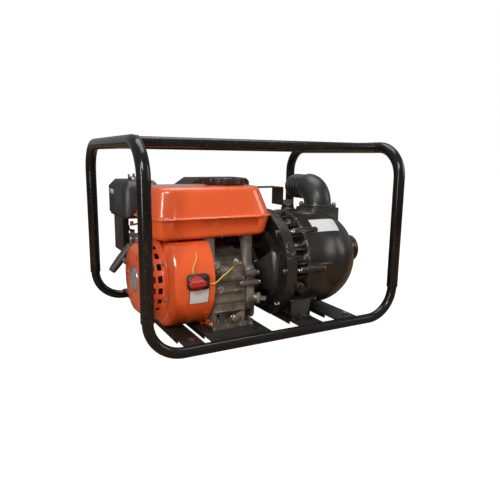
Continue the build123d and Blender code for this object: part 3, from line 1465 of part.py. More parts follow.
drain_outward = (0, cos(radians(drain_plug_turn)), sin(radians(drain_plug_turn)))
drain_plane = Plane(origin=along(drain_outward, drain_seat, (drain_plug_x, pump_y, casing_z)),
                    x_dir=(1, 0, 0), z_dir=drain_outward)
collar_bottom = casing_z + 60
check_radius = 36.0
seat_start = 262.0
flap_gap = 0.5
flap_thick = 5.0
flap_radius = check_radius - 4
hinge_x = seat_start - flap_gap - flap_thick / 2
hinge_z = suction_z + flap_radius + 6
hinge_pin = 2.5
lug_inside = 14.0             # half the distance between the flap's lugs
with BuildPart() as pump_casing:
    add(envelope)
    # pad for the discharge elbow, stub for the suction hose
    with BuildSketch(Plane.XY.offset(collar_bottom)):
        with Locations((discharge_x, pump_y)):
            RectangleRounded(collar_size, collar_size, 12)
    extrude(amount=collar_top - collar_bottom)
    with BuildSketch(Plane.YZ.offset(seat_start)):
        with Locations((pump_y, suction_z)):
            Circle(port_outer)
    extrude(amount=suction_face - seat_start)
    with BuildSketch(Plane.YZ.offset(suction_face - 10)):
        with Locations((pump_y, suction_z)):
            Circle(port_outer + 3)
    extrude(amount=10)
    # bosses of the priming plug and the drain plug
    with BuildSketch(Plane.XY.offset(priming_top)):
        with Locations((priming_x, priming_y)):
            Circle(priming_boss)
    extrude(amount=-20)
    add(casing_flange.part)
    add(casing_ring.part)
    # pockets between flange and ring, parted by ribs
    with BuildSketch(Plane.YZ.offset(casing_start + flange_thick)):
        with Locations((pump_y, bolt_circle_z)):
            Circle(2 * casing_radius)
            Circle(neck_radius_outside, mode=Mode.SUBTRACT)
    extrude(amount=ring_start - casing_start - flange_thick, mode=Mode.SUBTRACT)
    for k in range(rib_count):
        turn = radians(360 * (k + 0.5) / rib_count)
        y = pump_y + (ring_radius - 11) * cos(turn)
        z = bolt_circle_z + (ring_radius - 11) * sin(turn)
        if z < flange_floor + 12:
            continue
        with BuildSketch(Plane(origin=(casing_start, y, z), x_dir=(0, cos(turn), sin(turn)),
                               z_dir=(1, 0, 0))):
            Rectangle(20, 4)
        extrude(amount=ring_start - casing_start)
    with BuildSketch(drain_plane):
        Circle(drain_boss)
    extrude(amount=-28)
    # foot
    with BuildSketch(Plane.XY.offset(plate_top)):
        with Locations((pump_plate_x, pump_y)):
            Rectangle(foot_width, foot_span)
    extrude(amount=foot_height)
    # room for the nuts and their washers, open at the top where they stand in the foot
    with BuildSketch(Plane.YZ.offset(casing_start + flange_thick)):
        with Locations(*sleeve_places):
            Circle(sleeve_radius)
        for y, z in sleeve_places:
            if z < plate_top + foot_height:
                with Locations((y, (z + plate_top + foot_height) / 2)):
                    Rectangle(2 * sleeve_radius, plate_top + foot_height - z)
    extrude(amount=sleeve_start - casing_start - flange_thick, mode=Mode.SUBTRACT)
    add(hollow, mode=Mode.SUBTRACT)
    # bosses that the long bolts run in
    with BuildSketch(Plane.YZ.offset(sleeve_start)):
        with Locations(*sleeve_places):
            Circle(sleeve_radius)
    extrude(amount=sleeve_end - sleeve_start)
    # seat ring of the check valve, inside the dome
    with BuildSketch(Plane.YZ.offset(seat_start)):
        with Locations((pump_y, suction_z)):
            Circle(check_radius)
    extrude(amount=18)
    # lugs that hold the flap's pin
    with BuildSketch(Plane.XY.offset(hinge_z - 4.5)):
        with Locations((hinge_x + 6, pump_y - lug_inside - 2), (hinge_x + 6, pump_y + lug_inside + 2)):
            Rectangle(22, 4)
    extrude(amount=9)
    with BuildSketch(Plane.XZ.offset(-pump_y + lug_inside + 4)):
        with Locations((hinge_x, hinge_z)):
            Circle(hinge_pin + running_clearance)
    extrude(amount=-2 * (lug_inside + 4), mode=Mode.SUBTRACT)
    # foot lugs
    with BuildSketch(Plane.XY.offset(plate_top)):
        with Locations(*foot_bolts):
            Rectangle(foot_width - 16, foot_lug)
    extrude(amount=foot_lug_thick)
    with BuildSketch(Plane.YZ.offset(casing_start)):
        with Locations(*sleeve_places):
            Circle((m8 + hole_clearance) / 2)
    extrude(amount=sleeve_end - casing_start, mode=Mode.SUBTRACT)
    with BuildSketch(Plane.YZ.offset(seat_start)):
        with Locations((pump_y, suction_z)):
            Circle(port_bore)
    extrude(amount=suction_face - seat_start, mode=Mode.SUBTRACT)
    with BuildSketch(Plane.XY.offset(casing_z + 20)):
        with Locations((discharge_x, pump_y)):
            Circle(port_bore)
    extrude(amount=collar_top - casing_z, mode=Mode.SUBTRACT)
    with BuildSketch(Plane.XY.offset(plate_top)):
        with Locations(*foot_bolts):
            Circle((m8 + hole_clearance) / 2)
    extrude(amount=20, mode=Mode.SUBTRACT)
    with BuildSketch(Plane.XY.offset(priming_top)):
        with Locations((priming_x, priming_y)):
            Circle(priming_bore)
    extrude(amount=-30, mode=Mode.SUBTRACT)
    with BuildSketch(drain_plane):
        Circle(drain_bore)
    extrude(amount=-36, mode=Mode.SUBTRACT)
pump_casing.part.label = "pump_casing"
export_step(pump_casing.part, "parts/pump_casing.step")
print("casing solids", len(pump_casing.part.solids()))

# --- volute, impeller ----------------------------------------------------------------------------
volute_start = casing_start
volute_depth = 62.0
volute_wall = 5.0
eye_radius = 26.0
impeller_width = 24.0
blades = 3
with BuildPart() as volute:
    with BuildSketch(Plane.YZ.offset(volute_start)):
        with Locations((crank_y, crank_z)):
            Circle(volute_radius)
    extrude(amount=volute_depth)
    with BuildSketch(Plane.YZ.offset(volute_start)):
        with Locations((crank_y, crank_z)):
            Circle(impeller_radius + 14)
    extrude(amount=volute_depth - volute_wall, mode=Mode.SUBTRACT)
    with BuildSketch(Plane.YZ.offset(volute_start)):
        with Locations((crank_y, crank_z)):
            Circle(eye_radius)
    extrude(amount=volute_depth + 1, mode=Mode.SUBTRACT)
    with BuildSketch(Plane.XY.offset(crank_z)):
        with Locations((volute_start + 30, crank_y + impeller_radius - 6)):
            Circle(16)
    extrude(amount=volute_radius + 2, mode=Mode.SUBTRACT)
volute.part.label = "volute"
export_step(volute.part, "parts/volute.step")

with BuildPart() as impeller:
    with BuildSketch(Plane.YZ.offset(impeller_start)):
        with Locations((crank_y, crank_z)):
            Circle(impeller_radius)
    extrude(amount=5)
    with BuildSketch(Plane.YZ.offset(impeller_start)):
        with Locations((crank_y, crank_z)):
            Circle(impeller_hub)
    extrude(amount=impeller_width)
    for k in range(blades):
        with BuildSketch(Plane.YZ.offset(impeller_start)):
            with Locations(Location((crank_y, crank_z), 360 * k / blades)):
                with Locations(Location((34, 0), 38)):
                    Rectangle(48, 6)
            with Locations((crank_y, crank_z)):
                Circle(impeller_radius, mode=Mode.INTERSECT)
        extrude(amount=impeller_width)
    with BuildSketch(Plane.YZ.offset(impeller_start)):
        with Locations((crank_y, crank_z)):
            Circle(shaft_radius)
    extrude(amount=shaft_end - impeller_start, mode=Mode.SUBTRACT)
impeller.part.label = "impeller"
export_step(impeller.part, "parts/impeller.step")

# --- check valve on the inside of the suction port -----------------------------------------------
with BuildPart() as check_valve:
    with BuildSketch(Plane.YZ.offset(seat_start - flap_gap)):
        with Locations((pump_y, suction_z)):
            Circle(flap_radius)
        with Locations((pump_y, hinge_z - 8)):
            Rectangle(26, 22)
    extrude(amount=-flap_thick)
    with BuildSketch(Plane.YZ.offset(seat_start - flap_gap - flap_thick)):
        with Locations((pump_y, suction_z)):
            Circle(flap_radius - 10)
    extrude(amount=-5)
    with BuildSketch(Plane.XZ.offset(-pump_y + lug_inside + 4)):
        with Locations((hinge_x, hinge_z)):
            Circle(hinge_pin)
    extrude(amount=-2 * (lug_inside + 4))
check_valve.part.label = "check_valve"
export_step(check_valve.part, "parts/check_valve.step")

# --- discharge elbow -----------------------------------------------------------------------------
elbow_base = collar_top
bend_start = elbow_base + elbow_flange + 1
outlet_z = bend_start + elbow_bend
bend_end_y = pump_y + elbow_bend
barb_start = bend_end_y + 12
barb_pitch = (outlet_end - barb_start) / barb_count


def elbow_body(radius, outlet):
    """Upright stub, quarter bend to +Y and straight outlet, all of round section."""
    with BuildPart() as body:
        with BuildSketch(Plane.XY.offset(elbow_base)):
            with Locations((discharge_x, pump_y)):
                Circle(radius)
        extrude(amount=bend_start - elbow_base)
        with BuildSketch(Plane.XY.offset(bend_start)):
            with Locations((discharge_x, pump_y)):
                Circle(radius)
        revolve(axis=Axis((discharge_x, bend_end_y, bend_start), (-1, 0, 0)), revolution_arc=90)
        with BuildSketch(Plane.XZ.offset(-bend_end_y)):
            with Locations((discharge_x, outlet_z)):
                Circle(radius)
        with BuildSketch(Plane.XZ.offset(-barb_start)):
            with Locations((discharge_x, outlet_z)):
                Circle(outlet)
        loft()
        with BuildSketch(Plane.XZ.offset(-barb_start)):
            with Locations((discharge_x, outlet_z)):
                Circle(outlet)
        extrude(amount=-(outlet_end - barb_start))
    return body


elbow_outside = elbow_body(elbow_radius, outlet_radius)
elbow_inside = elbow_body(port_bore, port_bore - 0.01)
with BuildPart() as discharge_elbow:
    add(elbow_outside.part)
    for k in range(barb_count):
        with BuildSketch(Plane.XZ.offset(-barb_start - k * barb_pitch - 1)):
            with Locations((discharge_x, outlet_z)):
                Circle(outlet_radius + 2.5)
        with BuildSketch(Plane.XZ.offset(-barb_start - (k + 0.85) * barb_pitch)):
            with Locations((discharge_x, outlet_z)):
                Circle(outlet_radius)
        loft()
    with BuildSketch(Plane.XY.offset(elbow_base)):
        with Locations((discharge_x, pump_y)):
            RectangleRounded(collar_size - 10, collar_size - 10, 14)
    extrude(amount=elbow_flange)
    add(elbow_inside.part, mode=Mode.SUBTRACT)
discharge_elbow.part.label = "discharge_elbow"
export_step(discharge_elbow.part, "parts/discharge_elbow.step")

# --- long bolts --------------------------------------------------------------------------------
with BuildPart() as casing_bolts:
    with BuildSketch(Plane.YZ.offset(bracket_end - 6)):
        with Locations(*sleeve_places):
            Circle(m8 / 2)
    extrude(amount=sleeve_end - bracket_end + 5)
    with BuildSketch(Plane.YZ.offset(bracket_end - 6)):
        with Locations(*sleeve_places):
            RegularPolygon(hex_width(m8) / 2, 6, major_radius=False)
    extrude(amount=6)
    with BuildSketch(Plane.YZ.offset(sleeve_start)):
        with Locations(*sleeve_places):
            Circle(8.5)
    extrude(amount=-2)
    with BuildSketch(Plane.YZ.offset(sleeve_start - 2)):
        with Locations(*sleeve_places):
            RegularPolygon(hex_width(m8) / 2, 6, major_radius=False)
    extrude(amount=-7)
    with BuildSketch(Plane.YZ.offset(sleeve_start - 9)):
        with Locations(*sleeve_places):
            Circle(5.5)
    extrude(amount=-3)
casing_bolts.part.label = "casing_bolts"
export_step(casing_bolts.part, "parts/casing_bolts.step")


# --- plugs ---------------------------------------------------------------------------------------
with BuildPart() as priming_plug:
    with BuildSketch(Plane.XY.offset(priming_top + 0.1)):
        with Locations((priming_x, priming_y)):
            Circle(priming_boss - 2)
    extrude(amount=9)
    with BuildSketch(Plane.XY.offset(priming_top + 9)):
        with Locations((priming_x, priming_y)):
            RectangleRounded(34, 8, 3.5)
    extrude(amount=11)
    with BuildSketch(Plane.XY.offset(priming_top + 0.1)):
        with Locations((priming_x, priming_y)):
            Circle(priming_bore - running_clearance)
    extrude(amount=-14)
priming_plug.part.label = "priming_plug"
export_step(priming_plug.part, "parts/priming_plug.step")

with BuildPart() as pump_drain_plug:
    with BuildSketch(drain_plane.offset(0.1)):
        RegularPolygon(drain_boss - 3, 6, major_radius=False)
    extrude(amount=8)
    with BuildSketch(drain_plane.offset(0.1)):
        Circle(drain_bore - running_clearance)
    extrude(amount=-12)
pump_drain_plug.part.label = "pump_drain_plug"
export_step(pump_drain_plug.part, "parts/pump_drain_plug.step")

# --- heat shield between the exhaust and the pump ------------------------------------------------
shield_thick = 2.0
shield_reach = 108.0          # from the guard to the bend
shield_top = guard_top - 26
shield_drop = 52.0
shield_lip = 22.0
shield_width = 60.0
shield_y = (guard_front + guard_back) / 2 - 20

with BuildPart() as heat_shield:
    with BuildSketch(Plane.XZ.offset(-shield_y - shield_width / 2)):
        with BuildLine():
            Polyline((guard_right, shield_top - shield_lip), (guard_right, shield_top),
                     (guard_right + shield_reach, shield_top),
                     (guard_right + shield_reach, shield_top - shield_drop),
                     (guard_right + shield_reach - shield_thick, shield_top - shield_drop),
                     (guard_right + shield_reach - shield_thick, shield_top - shield_thick),
                     (guard_right + shield_thick, shield_top - shield_thick),
                     (guard_right + shield_thick, shield_top - shield_lip), close=True)
        make_face()
    extrude(amount=shield_width)
heat_shield.part.label = "heat_shield"
export_step(heat_shield.part, "parts/heat_shield.step")
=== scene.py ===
import json
from math import cos, sin, pi, radians, sqrt
import bpy, bmesh
from mathutils import Matrix, Vector


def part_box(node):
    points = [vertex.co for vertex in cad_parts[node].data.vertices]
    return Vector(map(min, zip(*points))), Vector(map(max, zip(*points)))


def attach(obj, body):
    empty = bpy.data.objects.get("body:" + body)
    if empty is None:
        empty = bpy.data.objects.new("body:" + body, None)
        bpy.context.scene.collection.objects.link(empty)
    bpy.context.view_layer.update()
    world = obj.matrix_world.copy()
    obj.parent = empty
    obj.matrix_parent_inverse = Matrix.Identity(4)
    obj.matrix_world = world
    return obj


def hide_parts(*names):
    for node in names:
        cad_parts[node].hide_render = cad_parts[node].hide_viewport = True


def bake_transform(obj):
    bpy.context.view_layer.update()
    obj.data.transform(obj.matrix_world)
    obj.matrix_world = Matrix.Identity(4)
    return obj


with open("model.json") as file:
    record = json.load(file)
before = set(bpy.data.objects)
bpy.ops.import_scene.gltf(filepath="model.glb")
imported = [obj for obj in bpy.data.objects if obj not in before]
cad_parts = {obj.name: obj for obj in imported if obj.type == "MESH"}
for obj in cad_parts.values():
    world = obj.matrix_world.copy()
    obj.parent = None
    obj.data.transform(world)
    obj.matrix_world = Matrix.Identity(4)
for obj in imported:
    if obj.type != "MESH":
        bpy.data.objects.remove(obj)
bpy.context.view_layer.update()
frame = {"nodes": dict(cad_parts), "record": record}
nodes = frame["nodes"]
scene = bpy.context.scene
MM = 0.001

# === sizes shared with the part's source, in millimetres ===========================================
crank_y, crank_z = -93.0, 141.8
lean = 25                     # cylinder axis above the level, in degrees
fan_radius = 118.0
drum_z = 155.0                # axis of the pump casing's drum
drum_radius = 126.0
dome_start = 170.0
dome_length = 117.0
bolt_circle = 124.0
bolt_circle_z = 151.0
sleeve_end = 126.0
elbow_x = 193.0

crank_axis = Vector((0, crank_y * MM, crank_z * MM))
drum_axis = Vector((0, crank_y * MM, drum_z * MM))


# === shader groups =================================================================================
def new_group(name, inputs, outputs):
    """An empty shader group with named sockets; inputs maps a name to its default."""
    group = bpy.data.node_groups.new(name, "ShaderNodeTree")
    for label, value in inputs.items():
        kind = "NodeSocketColor" if isinstance(value, tuple) else "NodeSocketFloat"
        group.interface.new_socket(name=label, in_out="INPUT", socket_type=kind).default_value = value
    for label, kind in outputs.items():
        group.interface.new_socket(name=label, in_out="OUTPUT", socket_type=kind)
    return group, group.nodes.new("NodeGroupInput"), group.nodes.new("NodeGroupOutput")


def add_math(tree, operation, first, second=None, clamp=False):
    step = tree.nodes.new("ShaderNodeMath")
    step.operation = operation
    step.use_clamp = clamp
    for socket, value in zip(step.inputs, (first, second)):
        if value is None:
            continue
        if isinstance(value, (int, float)):
            socket.default_value = value
        else:
            tree.links.new(value, socket)
    return step.outputs[0]


def add_noise(tree, scale, detail, roughness, vector):
    noise = tree.nodes.new("ShaderNodeTexNoise")
    noise.inputs["Detail"].default_value = detail
    noise.inputs["Roughness"].default_value = roughness
    tree.links.new(vector, noise.inputs["Vector"])
    tree.links.new(scale, noise.inputs["Scale"])
    return noise.outputs["Fac"]


def add_mix(tree, factor, first, second):
    mix = tree.nodes.new("ShaderNodeMix")
    mix.data_type = "RGBA"
    tree.links.new(factor, mix.inputs[0])
    for index, value in ((6, first), (7, second)):
        if isinstance(value, tuple):
            mix.inputs[index].default_value = value if len(value) == 4 else (*value, 1)
        else:
            tree.links.new(value, mix.inputs[index])
    return mix.outputs[2]


def object_vector(tree):
    return tree.nodes.new("ShaderNodeTexCoord").outputs["Object"]


def build_worn_edge():
    """Mask of chips and rubbed spots: high on sharp outside edges, broken up by noise."""
    group, given, result = new_group("worn_edge", {"Amount": 0.5, "Scale": 90.0},
                                     {"Mask": "NodeSocketFloat"})
    place = object_vector(group)
    shape = group.nodes.new("ShaderNodeNewGeometry").outputs["Pointiness"]
    ridge = add_math(group, "MULTIPLY", add_math(group, "SUBTRACT", shape, 0.53), 9.0, True)
    patch = add_math(group, "SUBTRACT", add_noise(group, given.outputs["Scale"], 6, 0.7, place), 0.56)
    chips = add_math(group, "MULTIPLY", patch, 14.0, True)
    both = add_math(group, "MULTIPLY", add_math(group, "ADD", ridge, 0.06), chips)
    group.links.new(add_math(group, "MULTIPLY", both, given.outputs["Amount"], True), result.inputs["Mask"])
    return group


def build_dust_film():
    """Mask of settled dust: on faces that look up, in soft blotches."""
    group, given, result = new_group("dust_film", {"Amount": 0.4, "Scale": 18.0},
                                     {"Mask": "NodeSocketFloat"})
    place = object_vector(group)
    facing = group.nodes.new("ShaderNodeSeparateXYZ")
    group.links.new(group.nodes.new("ShaderNodeNewGeometry").outputs["Normal"], facing.inputs[0])
    upward = add_math(group, "MULTIPLY", add_math(group, "SUBTRACT", facing.outputs["Z"], 0.25), 1.3, True)
    blotch = add_noise(group, given.outputs["Scale"], 5, 0.6, place)
    soft = add_math(group, "MULTIPLY", upward, add_math(group, "MULTIPLY", blotch, 1.4, True))
    base = add_math(group, "ADD", soft, add_math(group, "MULTIPLY", blotch, 0.18))
    group.links.new(add_math(group, "MULTIPLY", base, given.outputs["Amount"], True), result.inputs["Mask"])
    return group


def build_surface_grain():
    """Height of a fine grain on a slower wave, for cast, moulded and sprayed skins."""
    group, given, result = new_group("surface_grain", {"Fine Scale": 900.0, "Slow Scale": 45.0, "Slow Part": 0.4},
                                     {"Height": "NodeSocketFloat", "Tone": "NodeSocketFloat"})
    place = object_vector(group)
    fine = add_noise(group, given.outputs["Fine Scale"], 3, 0.6, place)
    slow = add_noise(group, given.outputs["Slow Scale"], 4, 0.5, place)
    weighted = add_math(group, "MULTIPLY", slow, given.outputs["Slow Part"])
    group.links.new(add_math(group, "ADD", fine, weighted), result.inputs["Height"])
    group.links.new(slow, result.inputs["Tone"])
    return group


worn_edge = build_worn_edge()
dust_film = build_dust_film()
surface_grain = build_surface_grain()


def use_group(tree, group, **values):
    node = tree.nodes.new("ShaderNodeGroup")
    node.node_tree = group
    for label, value in values.items():
        node.inputs[label.replace("_", " ").title()].default_value = value
    return node


def finish_material(name, colour, rough, metallic=0.0, coat=0.0, coat_rough=0.08, tone=0.18,
                    fine=900.0, slow=45.0, slow_part=0.4, bump=0.15, bump_depth=0.0004, dust=0.15,
                    dust_colour=(0.32, 0.28, 0.23), wear=0.3, wear_colour=(0.32, 0.30, 0.28),
                    rough_spread=0.12, second=None, specular=0.5):
    """A node material: toned base colour, dust and wear masks, roughness map and grain bump."""
    material = bpy.data.materials.new(name)
    material.use_nodes = True
    tree = material.node_tree
    shader = tree.nodes["Principled BSDF"]
    grain = use_group(tree, surface_grain, fine_scale=fine, slow_scale=slow, slow_part=slow_part)
    dark = tuple(channel * (1 - tone) for channel in colour)
    light = second or tuple(min(1, channel * (1 + tone)) for channel in colour)
    toned = add_mix(tree, add_math(tree, "MULTIPLY", add_math(tree, "SUBTRACT", grain.outputs["Tone"], 0.3), 2.5, True),
                    dark, light)
    settled = use_group(tree, dust_film, amount=dust)
    dusty = add_mix(tree, settled.outputs["Mask"], toned, dust_colour)
    rubbed = use_group(tree, worn_edge, amount=wear)
    tree.links.new(add_mix(tree, rubbed.outputs["Mask"], dusty, wear_colour), shader.inputs["Base Color"])
    spread = add_math(tree, "MULTIPLY", add_math(tree, "SUBTRACT", grain.outputs["Tone"], 0.5), 2 * rough_spread)
    roughness = add_math(tree, "ADD", add_math(tree, "ADD", spread, rough),
                         add_math(tree, "MULTIPLY", settled.outputs["Mask"], 0.4), True)
    tree.links.new(roughness, shader.inputs["Roughness"])
    shader.inputs["Metallic"].default_value = metallic
    shader.inputs["Coat Weight"].default_value = coat
    shader.inputs["Coat Roughness"].default_value = coat_rough
    shader.inputs["Specular IOR Level"].default_value = specular
    relief = tree.nodes.new("ShaderNodeBump")
    relief.inputs["Strength"].default_value = bump
    relief.inputs["Distance"].default_value = bump_depth
    tree.links.new(grain.outputs["Height"], relief.inputs["Height"])
    tree.links.new(relief.outputs[0], shader.inputs["Normal"])
    return material


black_dust = (0.07, 0.058, 0.045)
frame_enamel = finish_material("frame_enamel", (0.006, 0.006, 0.0065), 0.16, coat=0.1, coat_rough=0.05, fine=260,
                               slow=20, bump=0.04, dust=0.05, dust_colour=black_dust, wear=0.5,
                               wear_colour=(0.08, 0.055, 0.03), rough_spread=0.06, specular=0.32)
plate_enamel = finish_material("plate_enamel", (0.007, 0.007, 0.0075), 0.30, fine=300, bump=0.08, dust=0.3,
                               dust_colour=black_dust, wear=0.5, wear_colour=(0.10, 0.075, 0.05), specular=0.35)
orange_enamel = finish_material("orange_enamel", (0.80, 0.105, 0.016), 0.26, coat=0.8, coat_rough=0.04, tone=0.05,
                                fine=320, slow=14, bump=0.04, dust=0.02, wear=0.12,
                                wear_colour=(0.45, 0.08, 0.03))
orange_plastic = finish_material("orange_plastic", (0.78, 0.10, 0.018), 0.33, coat=0.45, coat_rough=0.12, tone=0.06,
                                 fine=700, bump=0.06, dust=0.03, wear=0.15, wear_colour=(0.5, 0.10, 0.04))
cast_alloy = finish_material("cast_alloy", (0.135, 0.108, 0.080), 0.46, metallic=0.55, tone=0.35, fine=520, slow=26,
                             slow_part=0.8, bump=0.45, bump_depth=0.0006, dust=0.30,
                             dust_colour=(0.10, 0.068, 0.040), wear=0.9, wear_colour=(0.55, 0.52, 0.47),
                             second=(0.22, 0.185, 0.145))
cover_alloy = finish_material("cover_alloy", (0.135, 0.12, 0.105), 0.42, metallic=0.6, tone=0.3, fine=600, slow=30,
                              bump=0.35, bump_depth=0.0005, dust=0.25, dust_colour=(0.12, 0.09, 0.06), wear=0.9,
                              wear_colour=(0.55, 0.53, 0.5))
post_alloy = finish_material("bright_casting", (0.45, 0.43, 0.40), 0.42, metallic=0.75, tone=0.2, fine=600,
                             bump=0.3, dust=0.1, wear=0.4, wear_colour=(0.7, 0.68, 0.65))
zinc_steel = finish_material("zinc_steel", (0.55, 0.54, 0.52), 0.28, metallic=1.0, tone=0.15, fine=500, bump=0.08,
                             dust=0.12, wear=0.3, wear_colour=(0.3, 0.25, 0.2))
dark_steel = finish_material("dark_steel", (0.20, 0.20, 0.20), 0.36, metallic=1.0, tone=0.2, fine=400, bump=0.1,
                             dust=0.1, wear=0.3)
yellow_zinc = finish_material("yellow_zinc", (0.62, 0.43, 0.14), 0.30, metallic=1.0, tone=0.2, fine=500, bump=0.08,
                              dust=0.1, wear=0.3, wear_colour=(0.5, 0.48, 0.44))
moulded_black = finish_material("moulded_black", (0.018, 0.018, 0.020), 0.42, tone=0.25, fine=1200, bump=0.14,
                                dust=0.10, dust_colour=black_dust, wear=0.3, wear_colour=(0.09, 0.09, 0.09))
pump_skin = finish_material("pump_skin", (0.011, 0.0105, 0.010), 0.30, coat=0.1, coat_rough=0.25, tone=0.3,
                            fine=620, slow=11, bump=0.10, dust=0.22, dust_colour=(0.07, 0.036, 0.015), wear=0.35,
                            wear_colour=(0.10, 0.10, 0.10))
elbow_skin = finish_material("elbow_skin", (0.020, 0.021, 0.023), 0.36, tone=0.2, fine=800, bump=0.08, dust=0.10,
                             dust_colour=black_dust, wear=0.3, wear_colour=(0.1, 0.1, 0.1))
cap_plastic = finish_material("cap_plastic", (0.016, 0.018, 0.022), 0.30, coat=0.2, tone=0.2, fine=900, bump=0.1,
                              dust=0.08, dust_colour=black_dust, wear=0.25, wear_colour=(0.1, 0.1, 0.11))
grip_plastic = finish_material("grip_plastic", (0.040, 0.042, 0.045), 0.45, tone=0.15, fine=1000, bump=0.2,
                               dust=0.10, dust_colour=black_dust, wear=0.3, wear_colour=(0.12, 0.12, 0.12))
hot_enamel = finish_material("hot_enamel", (0.016, 0.016, 0.016), 0.50, tone=0.3, fine=700, bump=0.2, dust=0.15,
                             dust_colour=black_dust, wear=0.5, wear_colour=(0.14, 0.10, 0.07))
red_plastic = finish_material("red_plastic", (0.42, 0.010, 0.012), 0.24, coat=0.5, tone=0.12, fine=600, bump=0.05,
                              dust=0.03, wear=0.2, wear_colour=(0.5, 0.12, 0.1))
rust_red = finish_material("linkage_red", (0.24, 0.035, 0.02), 0.38, tone=0.25, fine=500, bump=0.1, dust=0.05,
                           wear=0.3)
dip_grey = finish_material("filler_grey", (0.20, 0.185, 0.15), 0.50, tone=0.15, fine=700, bump=0.15, dust=0.15,
                           wear=0.3, wear_colour=(0.35, 0.33, 0.3))
hose_rubber = finish_material("hose_rubber", (0.014, 0.014, 0.014), 0.48, tone=0.25, fine=900, bump=0.15,
                              dust=0.12, wear=0.2)
wire_yellow = finish_material("wire_yellow", (0.66, 0.52, 0.06), 0.40, tone=0.18, fine=800, bump=0.08, dust=0.12,
                              wear=0.15, wear_colour=(0.3, 0.25, 0.1))
foam = finish_material("oiled_foam", (0.05, 0.048, 0.045), 0.9, tone=0.4, fine=420, bump=0.8, bump_depth=0.001,
                       dust=0.1, wear=0.0)
label_white = finish_material("label_white", (0.66, 0.67, 0.68), 0.36, tone=0.05, fine=300, bump=0.03, dust=0.06,
                              wear=0.25, wear_colour=(0.4, 0.38, 0.35))
badge_grey = finish_material("badge_grey", (0.20, 0.25, 0.33), 0.28, coat=0.6, tone=0.25, fine=300, slow=30,
                             bump=0.03, dust=0.05, wear=0.2)
label_border = finish_material("label_border", (0.02, 0.02, 0.022), 0.4, tone=0.1, fine=300, bump=0.03, dust=0.06,
                               wear=0.2)


def build_bolt_zinc_and_shade():
    """Long casing bolts: bright zinc, with painted shade (near-black, barely metallic) over one stretch of shank."""
    shade_from, shade_to = 0.0285, 0.0478
    material = finish_material("casing_bolt_finish", (0.6, 0.58, 0.55), 0.27, metallic=1.0, fine=500, bump=0.08,
                               dust=0.1, wear=0.2)
    tree = material.node_tree
    shader = tree.nodes["Principled BSDF"]
    lengthwise = tree.nodes.new("ShaderNodeSeparateXYZ")
    tree.links.new(object_vector(tree), lengthwise.inputs[0])
    x = lengthwise.outputs["X"]
    # painted shade: between the two named ends along X the shank turns near-black and loses most of its metal
    painted_shade = add_math(tree, "MULTIPLY", add_math(tree, "GREATER_THAN", x, shade_from),
                     add_math(tree, "LESS_THAN", x, shade_to))
    zinc = shader.inputs["Base Color"].links[0].from_socket
    tree.links.new(add_mix(tree, painted_shade, zinc, (0.022, 0.021, 0.02)), shader.inputs["Base Color"])
    tree.links.new(add_math(tree, "SUBTRACT", 1.0, add_math(tree, "MULTIPLY", painted_shade, 0.9)),
                   shader.inputs["Metallic"])
    return material


# zinc bolts that carry a painted shade band on the shank
bolt_zinc_and_shade = build_bolt_zinc_and_shade()

finish_of = {
    frame_enamel: "hoop_left hoop_right lower_rail_front lower_rail_rear top_rail_front top_rail_rear",
    plate_enamel: "cross_plate_left engine_plate pump_plate cross_plate_right",
    orange_enamel: "fuel_tank fan_cover",
    orange_plastic: "recoil_housing",
    cast_alloy: "crankcase cylinder_barrel cylinder_head",
    cover_alloy: "side_cover",
    post_alloy: "carburettor piston",
    zinc_steel: "frame_bolts mount_bolts oil_drain_bolt spark_plug wing_nut",
    dark_steel: "crankshaft flywheel volute impeller",
    moulded_black: "air_cleaner_base air_cleaner_cover intake_pipe switch_body recoil_pulley choke_lever",
    pump_skin: "pump_casing pump_bracket pump_back_plate priming_plug pump_drain_plug",
    elbow_skin: "discharge_elbow",
    cap_plastic: "fuel_cap",
    grip_plastic: "recoil_handle",
    hot_enamel: "rocker_cover muffler muffler_guard heat_shield exhaust_pipe",
    red_plastic: "switch_knob",
    rust_red: "throttle_lever",
    dip_grey: "dipstick fuel_tap_lever",
    hose_rubber: "fuel_hose ignition_lead check_valve shaft_seal",
    wire_yellow: "switch_wire sensor_wire",
    bolt_zinc_and_shade: "casing_bolts",
    foam: "filter_element",
}
for material, names in finish_of.items():
    for name in names.split():
        holder = nodes[name]
        holder.data.materials.clear()
        holder.data.materials.append(material)


# === mesh helpers ==================================================================================
def body_of(node):
    return next(body for body, members in frame["record"]["behaviour"]["bodies"].items() if node in members)


def place_piece(piece, body):
    if piece.name not in scene.collection.objects:
        scene.collection.objects.link(piece)
    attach(piece, body)
    return piece


def finish_mesh(mesh, material, smooth):
    """One material, and smooth shading that breaks at edges sharper than the angle in degrees."""
    mesh.materials.clear()
    mesh.materials.append(material)
    mesh.shade_smooth()
    mesh.set_sharp_from_angle(angle=radians(smooth))


def close_rings(work, rings):
    """Walls between rings of vertices of one count, and a face over each end ring."""
    for near, far in zip(rings, rings[1:]):
        for k in range(len(near)):
            after = (k + 1) % len(near)
            work.faces.new((near[k], near[after], far[after], far[k]))
    work.faces.new(rings[0])
    work.faces.new(rings[-1])


def piece_from(name, mesh_builder, material, body, smooth=40):
    """A mesh object out of a bmesh, with its normals outwards and its doubles merged."""
    mesh = bpy.data.meshes.new(name)
    mesh_builder.normal_update()
    bmesh.ops.remove_doubles(mesh_builder, verts=mesh_builder.verts, dist=1e-6)
    bmesh.ops.recalc_face_normals(mesh_builder, faces=mesh_builder.faces)
    mesh_builder.to_mesh(mesh)
    mesh_builder.free()
    finish_mesh(mesh, material, smooth)
    return place_piece(bpy.data.objects.new(name, mesh), body)


def refined(node, material):
    """A welded, smooth-shaded copy that stands for a CAD node."""
    mesh = nodes[node].data.copy()
    work = bmesh.new()
    work.from_mesh(mesh)
    bmesh.ops.remove_doubles(work, verts=work.verts, dist=2e-6)
    work.to_mesh(mesh)
    work.free()
    finish_mesh(mesh, material, smooth=34)
    piece = place_piece(bpy.data.objects.new(node + "_skin", mesh), body_of(node))
    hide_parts(node)


